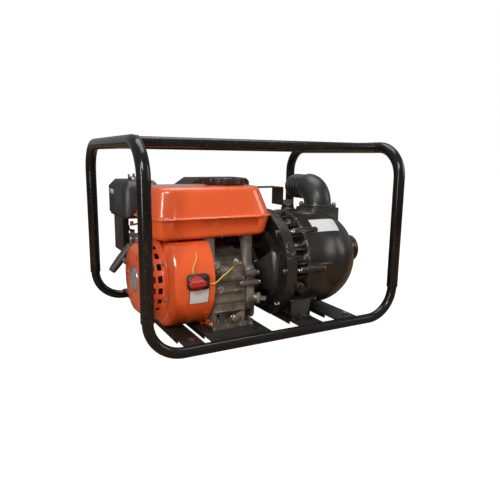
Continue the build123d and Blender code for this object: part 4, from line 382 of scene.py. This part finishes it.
# === geometry node trees ===========================================================================
def geometry_tree(name, inputs):
    """A tree with a Geometry input and output and named number inputs."""
    tree = bpy.data.node_groups.new(name, "GeometryNodeTree")
    tree.interface.new_socket(name="Geometry", in_out="INPUT", socket_type="NodeSocketGeometry")
    for label, value in inputs.items():
        kind = "NodeSocketInt" if isinstance(value, int) else "NodeSocketFloat"
        tree.interface.new_socket(name=label, in_out="INPUT", socket_type=kind).default_value = value
    tree.interface.new_socket(name="Material", in_out="INPUT", socket_type="NodeSocketMaterial")
    tree.interface.new_socket(name="Geometry", in_out="OUTPUT", socket_type="NodeSocketGeometry")
    return tree, tree.nodes.new("NodeGroupInput"), tree.nodes.new("NodeGroupOutput")


def close_tree(tree, given, result, geometry):
    realized = tree.nodes.new("GeometryNodeRealizeInstances")
    painted = tree.nodes.new("GeometryNodeSetMaterial")
    tree.links.new(geometry, realized.inputs[0])
    tree.links.new(realized.outputs[0], painted.inputs["Geometry"])
    tree.links.new(given.outputs["Material"], painted.inputs["Material"])
    tree.links.new(painted.outputs[0], result.inputs[0])


def facing_rotation(tree):
    """A rotation that turns Z to the points' own facing attribute."""
    facing = tree.nodes.new("GeometryNodeInputNamedAttribute")
    facing.data_type = "FLOAT_VECTOR"
    facing.inputs["Name"].default_value = "facing"
    turn = tree.nodes.new("FunctionNodeAlignRotationToVector")
    turn.axis = "Z"
    tree.links.new(facing.outputs["Attribute"], turn.inputs["Vector"])
    return turn.outputs["Rotation"]


def scatter_on_points(tree, given, shape):
    """The shape on every point, turned to the point's own facing."""
    scatter = tree.nodes.new("GeometryNodeInstanceOnPoints")
    tree.links.new(given.outputs["Geometry"], scatter.inputs["Points"])
    tree.links.new(shape, scatter.inputs["Instance"])
    tree.links.new(facing_rotation(tree), scatter.inputs["Rotation"])
    return scatter


def build_hex_bolts():
    """Flanged hex heads on points, each along its own facing."""
    tree, given, result = geometry_tree("hex_bolts", {"Head Radius": 0.0065, "Head Height": 0.005,
                                                      "Washer Radius": 0.009, "Washer Thickness": 0.0015})
    head = tree.nodes.new("GeometryNodeMeshCone")
    head.inputs["Vertices"].default_value = 6
    for label in ("Radius Bottom", "Radius Top"):
        tree.links.new(given.outputs["Head Radius"], head.inputs[label])
    total = add_math(tree, "ADD", given.outputs["Head Height"], given.outputs["Washer Thickness"])
    tree.links.new(total, head.inputs["Depth"])
    washer = tree.nodes.new("GeometryNodeMeshCone")
    washer.inputs["Vertices"].default_value = 24
    for label in ("Radius Bottom", "Radius Top"):
        tree.links.new(given.outputs["Washer Radius"], washer.inputs[label])
    tree.links.new(given.outputs["Washer Thickness"], washer.inputs["Depth"])
    joined = tree.nodes.new("GeometryNodeJoinGeometry")
    tree.links.new(head.outputs["Mesh"], joined.inputs[0])
    tree.links.new(washer.outputs["Mesh"], joined.inputs[0])
    close_tree(tree, given, result, scatter_on_points(tree, given, joined.outputs[0]).outputs[0])
    return tree


def build_bar_row():
    """A bar on each point, its length, width and height along X, Y and Z."""
    tree, given, result = geometry_tree("bar_row", {"Length": 0.05, "Width": 0.004, "Height": 0.003})
    size = tree.nodes.new("ShaderNodeCombineXYZ")
    for socket, label in zip(size.inputs, ("Length", "Width", "Height")):
        tree.links.new(given.outputs[label], socket)
    bar = tree.nodes.new("GeometryNodeMeshCube")
    tree.links.new(size.outputs[0], bar.inputs["Size"])
    close_tree(tree, given, result, scatter_on_points(tree, given, bar.outputs["Mesh"]).outputs[0])
    return tree


def build_weld_bead():
    """Overlapping weld ripples on points, flattened along their facing."""
    tree, given, result = geometry_tree("weld_bead", {"Ripple Radius": 0.0022, "Flatness": 0.7})
    ripple = tree.nodes.new("GeometryNodeMeshUVSphere")
    ripple.inputs["Segments"].default_value = 8
    ripple.inputs["Rings"].default_value = 5
    tree.links.new(given.outputs["Ripple Radius"], ripple.inputs["Radius"])
    size = tree.nodes.new("ShaderNodeCombineXYZ")
    size.inputs[0].default_value = 1.0
    size.inputs[1].default_value = 1.0
    tree.links.new(given.outputs["Flatness"], size.inputs[2])
    scatter = scatter_on_points(tree, given, ripple.outputs["Mesh"])
    tree.links.new(size.outputs[0], scatter.inputs["Scale"])
    close_tree(tree, given, result, scatter.outputs[0])
    return tree


hex_bolts = build_hex_bolts()
bar_row = build_bar_row()
weld_bead = build_weld_bead()


def grown(name, tree, places, material, body, slot, bevel=0.0, **sizes):
    """Runs a tree on points with their facings, and keeps the result as one plain mesh."""
    mesh = bpy.data.meshes.new(name + "_points")
    mesh.from_pydata([tuple(place) for place, facing in places], [], [])
    mesh.attributes.new("facing", "FLOAT_VECTOR", "POINT").data.foreach_set(
        "vector", [number for place, facing in places for number in facing])
    holder = bpy.data.objects.new(name + "_points", mesh)
    scene.collection.objects.link(holder)
    grow = holder.modifiers.new("grow", "NODES")
    grow.node_group = tree
    settings = dict(sizes, material=material)
    for socket in tree.interface.items_tree:
        setting = socket.name.lower().replace(" ", "_")
        if socket.item_type == "SOCKET" and socket.in_out == "INPUT" and setting in settings:
            grow[socket.identifier] = settings[setting]
    if bevel:
        soften = holder.modifiers.new("soften", "BEVEL")
        soften.width = bevel
        soften.segments = 2
        soften.limit_method = "ANGLE"
    graph = bpy.context.evaluated_depsgraph_get()
    result = bpy.data.meshes.new_from_object(holder.evaluated_get(graph), depsgraph=graph)
    bpy.data.objects.remove(holder)
    result.name = name
    finish_mesh(result, material, smooth=35)
    return place_piece(bpy.data.objects.new(name, result), body)


# === smooth skins over the CAD shapes ==============================================================
own_shape = ("fuel_hose", "ignition_lead", "switch_wire", "sensor_wire", "recoil_handle")
for material, names in finish_of.items():
    for name in names.split():
        if name not in own_shape:
            refined(name, material)

# === wires, hose and lead ==========================================================================
def spline_line(name, route):
    """The route as a NURBS spline, with no thickness."""
    curve = bpy.data.curves.new(name, "CURVE")
    curve.dimensions = "3D"
    spline = curve.splines.new("NURBS")
    spline.points.add(len(route) - 1)
    for point, place in zip(spline.points, route):
        point.co = (*(Vector(place) * MM), 1)
    spline.order_u = 3
    spline.use_endpoint_u = True
    spline.resolution_u = 12
    return curve


def measure(curve):
    """Length of the line that the curve draws before it has a thickness."""
    holder = bpy.data.objects.new("measure", curve)
    scene.collection.objects.link(holder)
    graph = bpy.context.evaluated_depsgraph_get()
    line = bpy.data.meshes.new_from_object(holder.evaluated_get(graph), depsgraph=graph)
    bpy.data.objects.remove(holder)
    points = [vertex.co for vertex in line.vertices]
    return sum((b - a).length for a, b in zip(points, points[1:]))


def held_cord(name, node, route, diameter, material):
    """A cord that both ends of the route hold; the route and the diameter are in millimetres."""
    curve = spline_line(name, route)
    length = measure(curve)
    curve.bevel_depth = diameter * MM / 2
    curve.bevel_resolution = 5
    curve.use_fill_caps = True
    curve.materials.append(material)
    piece = place_piece(bpy.data.objects.new(name, curve), body_of(node))
    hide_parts(node)


switch_route = [(-214, -214, 167.6), (-217, -217, 177), (-213, -213, 187), (-205, -207, 195),
                (-200, -199, 203), (-199, -190.5, 210.5)]
sensor_route = [(-177.6, -214, 144), (-169, -218, 143), (-160, -219, 147), (-151, -215, 153),
                (-141, -209, 157), (-130, -203, 160), (-119, -196, 164), (-108, -190, 169), (-99, -183, 173)]
hose_route = [(-232, -8, 252), (-234, 4, 250), (-243, 10, 240), (-255, 10, 226), (-265, 7, 211),
              (-269, 3, 197), (-269, 12.9, 185.6)]
lead_route = [(-88, 75.25, 143.02), (-96, 96, 134), (-112, 102, 108), (-134, 92, 90), (-164, 68, 84),
              (-192, 36.68, 94.6), (-192, 17.94, 101.42)]
held_cord("fuel_line", "fuel_hose", hose_route, 7.0, hose_rubber)
held_cord("plug_lead", "ignition_lead", lead_route, 7.0, hose_rubber)
held_cord("kill_switch_lead", "switch_wire", switch_route, 2.6, wire_yellow)
held_cord("oil_sensor_lead", "sensor_wire", sensor_route, 2.6, wire_yellow)

# === turned pieces =================================================================================
def turned(outline, start, direction, segments=40):
    """Spins a closed outline of (radius, height) pairs about a direction; points on the axis merge later."""
    work = bmesh.new()
    axis = Vector(direction).normalized()
    side = axis.orthogonal().normalized()
    other = axis.cross(side)
    rows = []
    for k in range(segments):
        turn = 2 * pi * k / segments
        outward = cos(turn) * side + sin(turn) * other
        rows.append([work.verts.new((Vector(start) + outward * radius + axis * height) * MM)
                     for radius, height in outline])
    for k in range(segments):
        here, there = rows[k], rows[(k + 1) % segments]
        for i in range(len(outline)):
            j = (i + 1) % len(outline)
            work.faces.new((here[i], here[j], there[j], there[i]))
    return work


plug_seat = (-88, 60.88, 173.83)
plug_direction = (0, sin(radians(lean)), -cos(radians(lean)))
boot_outline = [(5.6, 11), (8.6, 11), (10, 12.2), (10, 15), (9.2, 16), (9.2, 18), (10, 19), (10, 30), (9, 34),
                (6.6, 38), (5.2, 39), (3.7, 39), (3.7, 33), (5.6, 31.5)]
boot = piece_from("plug_boot", turned(boot_outline, plug_seat, plug_direction), hose_rubber, "frame")
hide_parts("ignition_lead")

# === labels and badge, all left bare ===============================================================
def casing_radius_at(x):
    """Radius of the pump casing about its own axis: a drum that ends in a dome."""
    into_dome = max(0.0, (x - dome_start) / dome_length)
    return drum_radius * sqrt(max(0.0, 1 - into_dome ** 2))


def fan_radius_at(x):
    """Radius of the fan cover about the crank axis, the same all along."""
    return fan_radius


def wrapped_label(name, x_range, turns, radius_at, axis, lift, material):
    """A thin sheet stuck to a round skin, given by its X range and its turns about the axis."""
    columns, rows, thickness = 18, 14, 0.18
    work = bmesh.new()
    grid = []
    for i in range(columns + 1):
        x = x_range[0] + (x_range[1] - x_range[0]) * i / columns
        line = []
        for j in range(rows + 1):
            turn = radians(turns[0] + (turns[1] - turns[0]) * j / rows)
            reach = radius_at(x) + lift
            line.append(work.verts.new(Vector((x * MM, axis.y + reach * MM * cos(turn),
                                               axis.z + reach * MM * sin(turn)))))
        grid.append(line)
    for i in range(columns):
        for j in range(rows):
            work.faces.new((grid[i][j], grid[i + 1][j], grid[i + 1][j + 1], grid[i][j + 1]))
    bmesh.ops.solidify(work, geom=work.faces[:], thickness=thickness * MM)
    piece_from(name, work, material, "frame", smooth=50)


wrapped_label("fan_label_border", (-222, -175), (-177.5, -158.5), fan_radius_at, crank_axis, 0.30, label_border)
wrapped_label("fan_label_face", (-220.4, -176.6), (-176.8, -159.2), fan_radius_at, crank_axis, 0.55, label_white)
wrapped_label("pump_label_border", (116, 196), (121.5, 140.5), casing_radius_at, drum_axis, 0.30, label_border)
wrapped_label("pump_label_face", (117, 195), (121.9, 140.1), casing_radius_at, drum_axis, 0.55, label_white)

badge_outline = [(0, 0), (0, 2.6), (22, 2.1), (26.5, 1.2), (27, 0.2), (27, 0)]
rim_outline = [(27, 0), (27, 1.8), (28.2, 2.5), (29.8, 1.6), (30.2, 0)]
badge_start = (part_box("recoil_housing")[0].x / MM + 0.6, crank_y, crank_z)
piece_from("recoil_badge", turned(badge_outline, badge_start, (-1, 0, 0), 64), badge_grey, "frame")
piece_from("recoil_badge_rim", turned(rim_outline, badge_start, (-1, 0, 0), 64), zinc_steel, "frame")


def rounded_plate(name, place, width, height, normal, along_width, thickness, radius, material):
    """A flat plate with round corners; place is the middle of its back, along_width its long direction."""
    work = bmesh.new()
    across = Vector(along_width).normalized()
    out = Vector(normal).normalized()
    upward = out.cross(across)
    ring = []
    for cx, cy, start in ((1, 1, 0), (-1, 1, 90), (-1, -1, 180), (1, -1, 270)):
        for step in range(7):
            turn = radians(start + 15 * step)
            ring.append((cx * (width / 2 - radius) + radius * cos(turn),
                         cy * (height / 2 - radius) + radius * sin(turn)))
    chamfer = max(0.1, min(0.4 * thickness, radius * 0.5))
    rings = []
    for lift, inset in ((0, 0), (0.7 * thickness, 0), (thickness, chamfer)):
        rings.append([work.verts.new((Vector(place) + across * a * (1 - 2 * inset / width)
                                      + upward * b * (1 - 2 * inset / height) + out * lift) * MM) for a, b in ring])
    close_rings(work, rings)
    piece_from(name, work, material, "frame")


cleaner_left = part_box("air_cleaner_cover")[0].x / MM
rounded_plate("cleaner_label", (cleaner_left, 112, 326), 40, 11, (-1, 0, 0), (0, 1, 0), 0.5, 2, label_white)
rounded_plate("cleaner_label_pad", (cleaner_left, 108, 305), 30, 13, (-1, 0, 0), (0, 1, 0), 0.9, 3, moulded_black)

# === bolts, lugs and small engine parts ============================================================
case_face = -188.0
cover_face = -46.0
recoil_bolt_circle = 93.0
elbow_bolt_reach = 31.0


def at_mm(places, facing):
    """Places in millimetres with one facing, as grown takes them."""
    return [(Vector(place) * MM, Vector(facing)) for place in places]


cover_bolt_places = [(cover_face + 3, -176, 81.8), (cover_face + 3, -176, 145.8), (cover_face + 3, -20, 141.8),
                     (cover_face + 3, -132, 183.8), (cover_face + 3, -16, 81.8)]
grown("side_cover_bolts", hex_bolts, at_mm(cover_bolt_places, (1, 0, 0)), zinc_steel, "frame", "bright_steel",
      bevel=0.0004, head_radius=0.0055, head_height=0.0045, washer_radius=0.0078, washer_thickness=0.0014)
grown("engine_face_bolts", hex_bolts, at_mm([(-139, case_face, 118), (-149, case_face, 176)], (0, -1, 0)),
      zinc_steel, "frame", "bright_steel", bevel=0.0005, head_radius=0.0068, head_height=0.0055,
      washer_radius=0.0092, washer_thickness=0.0018)
recoil_bolt_places = [(-265, crank_y + recoil_bolt_circle * cos(radians(turn)),
                       crank_z + recoil_bolt_circle * sin(radians(turn))) for turn in (200, 320, 150)]
grown("recoil_bolts", hex_bolts, at_mm(recoil_bolt_places, (-1, 0, 0)), zinc_steel, "frame", "bright_steel",
      bevel=0.0004, head_radius=0.0045, head_height=0.0035, washer_radius=0.0058, washer_thickness=0.0012)
elbow_bolt_places = [(elbow_x + elbow_bolt_reach * a, crank_y + elbow_bolt_reach * b, 294)
                     for a in (-1, 1) for b in (-1, 1)]
grown("elbow_bolts", hex_bolts, at_mm(elbow_bolt_places, (0, 0, 1)), zinc_steel, "frame", "bright_steel",
      bevel=0.0004, head_radius=0.0055, head_height=0.0045, washer_radius=0.0072, washer_thickness=0.0014)

grown("case_rib_wide", bar_row, at_mm([(-116, case_face, z) for z in (142, 113, 90)], (0, -1, 0)), cast_alloy,
      "frame", "cast_alloy", bevel=0.001, length=0.074, width=0.0045, height=0.008)
grown("base_gussets", bar_row, at_mm([(x, -191.5, 40) for x in (-146, -128, -84, -66)], (0, -1, 0)), cast_alloy,
      "frame", "cast_alloy", bevel=0.001, length=0.004, width=0.017, height=0.009)

lug_length = 30
lug_outline = [(0, 0), (0, 30), (4.6, 30), (4.6, 28.5), (7.2, 28), (7.8, 26), (7.8, 0)]
for name, place, reach in (("cover_lug_upper", (-76, -186, 150), 33), ("cover_lug_lower", (-92, -187, 127), 52)):
    outline = [(radius, height * reach / lug_length) for radius, height in lug_outline]
    piece_from(name, turned(outline, place, (1, 0, 0), 28), cover_alloy, "frame")
grown("lug_bolts", hex_bolts, at_mm([(-43.2, -186, 150), (-40.2, -187, 127)], (1, 0, 0)), zinc_steel, "frame",
      "bright_steel", bevel=0.0004, head_radius=0.0048, head_height=0.004, washer_radius=0.0062,
      washer_thickness=0.0012)

sensor_outline = [(0, 0), (0, 15), (2.4, 15), (2.4, 11.4), (4.4, 11), (4.4, 6), (8.4, 5.6), (8.8, 4.6), (8.8, 0)]
piece_from("oil_sensor", turned(sensor_outline, (-104, case_face, 181), (0.25, -1, 0.1), 6), zinc_steel,
           "frame", smooth=25)
terminal_outline = [(0, 0), (0, 13), (2.0, 13), (3.2, 12), (3.2, 2), (2.2, 0)]
piece_from("oil_sensor_terminal", turned(terminal_outline, (-102, -197, 179), (1, 0.05, -0.1), 20),
           yellow_zinc, "frame")
rounded_plate("lead_connector", (-149, case_face, 153), 19, 12, (0, -1, 0), (1, 0, 0), 10, 4, moulded_black)
rounded_plate("fan_tab_low", (-161, -174, 38), 34, 14, (1, 0, 0), (0, 1, 0), 3.5, 5, orange_enamel)
grown("fan_tab_bolt", hex_bolts, at_mm([(-161, -184, 38)], (-1, 0, 0)), zinc_steel, "frame", "bright_steel",
      bevel=0.0004, head_radius=0.0055, head_height=0.0045, washer_radius=0.0075, washer_thickness=0.0014)

sleeve_ends = [(sleeve_end, crank_y + bolt_circle * cos(radians(turn)),
                bolt_circle_z + bolt_circle * sin(radians(turn))) for turn in (0, 45, 90, 135, 180, 225, 315)]
grown("sleeve_inserts", hex_bolts, at_mm(sleeve_ends, (1, 0, 0)), yellow_zinc, "frame", "bright_steel",
      bevel=0.0004, head_radius=0.0062, head_height=0.0045, washer_radius=0.0072, washer_thickness=0.0008)

cap_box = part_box("fuel_cap")
cap_middle = ((cap_box[0].x + cap_box[1].x) / 2 / MM, (cap_box[0].y + cap_box[1].y) / 2 / MM)
cap_ridge_count, cap_ridge_circle = 44, 33
cap_ridges = []
for k in range(cap_ridge_count):
    turn = 2 * pi * k / cap_ridge_count
    cap_ridges.append((Vector((cap_middle[0] + cap_ridge_circle * cos(turn),
                               cap_middle[1] + cap_ridge_circle * sin(turn),
                               cap_box[1].z / MM - 0.2)) * MM, Vector((cos(turn), sin(turn), 0))))
grown("cap_ridges", bar_row, cap_ridges, cap_plastic, "tank_cap", "dark_plastic", bevel=0.0003, length=0.0018,
      width=0.0018, height=0.020)

# === cylinder shroud ===============================================================================
def bent_sheet(name, outline, x_range):
    """Sheet metal: a bent line in YZ, drawn out along X, with a real thickness."""
    thickness = 1.2
    work = bmesh.new()
    rows = [[work.verts.new((x * MM, y * MM, z * MM)) for y, z in outline] for x in x_range]
    for near, far in zip(rows, rows[1:]):
        for k in range(len(outline) - 1):
            work.faces.new((near[k], near[k + 1], far[k + 1], far[k]))
    bmesh.ops.solidify(work, geom=work.faces[:], thickness=thickness * MM)
    piece_from(name, work, hot_enamel, "frame", smooth=30)


bent_sheet("cylinder_shroud", [(-60.5, 218.5), (-59.2, 219.6), (-30, 232.0), (0.6, 246.3), (2.4, 244.0)],
           (-158, -26))
bent_sheet("shroud_flap", [(-63, 196), (-62.6, 214), (-60.5, 218.5)], (-74, -26))

# === recoil grip and rope ==========================================================================
rope_exit = Vector((-302.0, -14.0, 162.0))
rope_way = Vector((-0.51, 0.72, 0.47)).normalized()
grip_way = Vector((0.62, 0.0, 0.785)).normalized()
grip_side = rope_way.cross(grip_way).normalized()
grip_centre = rope_exit + rope_way * 22


def build_grip():
    """A moulded T handle: a bar that is thick in the middle, on a waisted neck."""
    sides, squareness = 24, 3.2
    work = bmesh.new()
    out = grip_way.cross(grip_side).normalized()
    rows = []
    for along_bar, wide, deep in ((-40, 5.0, 4.6), (-39, 7.6, 6.8), (-36, 8.8, 8.0), (-20, 9.6, 8.8), (-12, 9.9, 9.2),
                                  (0, 10.2, 9.4), (12, 9.9, 9.2), (20, 9.6, 8.8), (36, 8.8, 8.0), (39, 7.6, 6.8),
                                  (40, 5.0, 4.6)):
        row = []
        for k in range(sides):
            c, n = cos(2 * pi * k / sides), sin(2 * pi * k / sides)
            reach = (abs(c) ** squareness + abs(n) ** squareness) ** (-1 / squareness)
            row.append(work.verts.new((grip_centre + grip_way * along_bar + grip_side * (wide * reach * c)
                                       + out * (deep * reach * n)) * MM))
        rows.append(row)
    close_rings(work, rows)
    return work


grip = piece_from("pull_grip", build_grip(), grip_plastic, "pull_handle", smooth=50)
neck_outline = [(2.1, 3.2), (6.0, 3.2), (6.6, 4.0), (6.4, 9), (7.6, 13), (9.0, 18), (9.0, 22), (2.1, 22)]
neck = piece_from("pull_grip_neck", turned(neck_outline, rope_exit, rope_way, 32), grip_plastic,
                  "pull_handle")
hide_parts("recoil_handle")
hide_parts("recoil_handle")


def pull_rope():
    """The rope from inside the housing to the grip's neck."""
    first, last, radius = -8.0, 9.0, 2.0
    rings, sides = 60, 12
    work = bmesh.new()
    side = rope_way.orthogonal().normalized()
    other = rope_way.cross(side)
    rows = []
    for k in range(rings):
        centre = rope_exit + rope_way * (first + (last - first) * k / (rings - 1))
        rows.append([work.verts.new((centre + side * (radius * cos(2 * pi * i / sides))
                                     + other * (radius * sin(2 * pi * i / sides))) * MM) for i in range(sides)])
    close_rings(work, rows)
    mesh = bpy.data.meshes.new("pull_rope")
    bmesh.ops.recalc_face_normals(work, faces=work.faces)
    work.to_mesh(mesh)
    work.free()
    finish_mesh(mesh, hose_rubber, smooth=50)
    rope = bpy.data.objects.new("pull_rope", mesh)
    scene.collection.objects.link(rope)
    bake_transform(rope)
    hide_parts("recoil_rope")


pull_rope()
ridge_line = grip_centre + grip_way.cross(grip_side).normalized() * 8.6
grip_ridges = [((ridge_line + grip_way * step) * MM, grip_way) for step in (-30, -26, -22, 22, 26, 30)]
grown("grip_ridges", bar_row, grip_ridges, grip_plastic, "pull_handle", "dark_plastic", bevel=0.0004,
      length=0.0022, width=0.012, height=0.0016)

# === weld beads where the top rails meet the hoops =================================================
bead_count, rail_setback = 30, 0.0045
for rail in ("top_rail_front", "top_rail_rear"):
    low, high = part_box(rail)
    middle_y, middle_z, ring = (low.y + high.y) / 2, (low.z + high.z) / 2, (high.z - low.z) / 2
    beads = []
    for x, facing in ((low.x + rail_setback, -1), (high.x - rail_setback, 1)):
        for k in range(bead_count):
            turn = 2 * pi * k / bead_count
            inward = rail_setback * sin(turn) ** 2
            beads.append((Vector((x + facing * (0.0005 - inward * 0.2), middle_y + ring * cos(turn),
                                  middle_z + ring * sin(turn))), Vector((facing, 0, 0))))
    grown(rail + "_welds", weld_bead, beads, frame_enamel, "frame", "frame_black", ripple_radius=0.0024,
          flatness=0.8)

# === camera, lights, floor =========================================================================
camera_place = (-0.5998, -1.1716, 0.4170)
camera_data = bpy.data.cameras.new("camera")
camera_data.lens = 35.55
camera_data.sensor_width = 36
camera = bpy.data.objects.new("camera", camera_data)
scene.collection.objects.link(camera)
yaw, pitch, roll = radians(28.62), radians(10.72), radians(0.73)
forward = Vector((sin(yaw) * cos(pitch), cos(yaw) * cos(pitch), -sin(pitch)))
right = Vector((cos(yaw), -sin(yaw), 0))
up = right.cross(forward)
right, up = cos(roll) * right + sin(roll) * up, -sin(roll) * right + cos(roll) * up
aim = Matrix((right, up, -forward)).transposed().to_4x4()
camera.matrix_world = Matrix.Translation(camera_place) @ aim
scene.camera = camera


def soft_box(name, place, target, width, height, power):
    """A white rectangular lamp that faces the target."""
    lamp = bpy.data.lights.new(name, "AREA")
    lamp.shape = "RECTANGLE"
    lamp.size, lamp.size_y = width, height
    lamp.energy = power
    holder = bpy.data.objects.new(name, lamp)
    scene.collection.objects.link(holder)
    look = Vector(target) - Vector(place)
    holder.matrix_world = Matrix.Translation(place) @ look.to_track_quat("-Z", "Y").to_matrix().to_4x4()


middle = (0, 0, 0.2)
soft_box("key_box", (-1.1, -1.9, 1.7), middle, 0.7, 0.7, 27)
soft_box("window_strip", (-1.25, -1.0, 0.62), (-0.15, -0.15, 0.25), 0.12, 0.9, 7)
soft_box("top_box", (0.2, 0.1, 2.1), middle, 1.5, 1.5, 26)
soft_box("fill_box", (1.9, -1.1, 0.9), middle, 1.0, 1.0, 9)

studio = bpy.data.worlds.new("studio")
scene.world = studio
studio.use_nodes = True
sky = studio.node_tree
background = sky.nodes["Background"]
path = sky.nodes.new("ShaderNodeLightPath")
seen = add_math(sky, "MAXIMUM", path.outputs["Is Camera Ray"], path.outputs["Is Transmission Ray"])
sky.links.new(add_math(sky, "ADD", add_math(sky, "MULTIPLY", seen, 0.70), 0.30), background.inputs["Strength"])
background.inputs["Color"].default_value = (1, 1, 1, 1)

floor_mesh = bpy.data.meshes.new("floor")
floor_mesh.from_pydata([(-9, -9, 0), (9, -9, 0), (9, 9, 0), (-9, 9, 0)], [], [(0, 1, 2, 3)])
floor = bpy.data.objects.new("floor", floor_mesh)
scene.collection.objects.link(floor)
floor.location.z = -0.0006
floor_paint = bpy.data.materials.new("floor_paint")
floor_paint.use_nodes = True
floor_tree = floor_paint.node_tree
floor_shader = floor_tree.nodes["Principled BSDF"]
floor_shader.inputs["Base Color"].default_value = (0.34, 0.21, 0.13, 1)
floor_shader.inputs["Roughness"].default_value = 0.9
floor_shader.inputs["Specular IOR Level"].default_value = 0.1
floor_rays = floor_tree.nodes.new("ShaderNodeLightPath")
floor_tree.links.new(floor_rays.outputs["Is Camera Ray"], floor_shader.inputs["Emission Strength"])
floor_shader.inputs["Emission Color"].default_value = (1, 1, 1, 1)
floor_mesh.materials.append(floor_paint)

scene.view_settings.view_transform = "Standard"
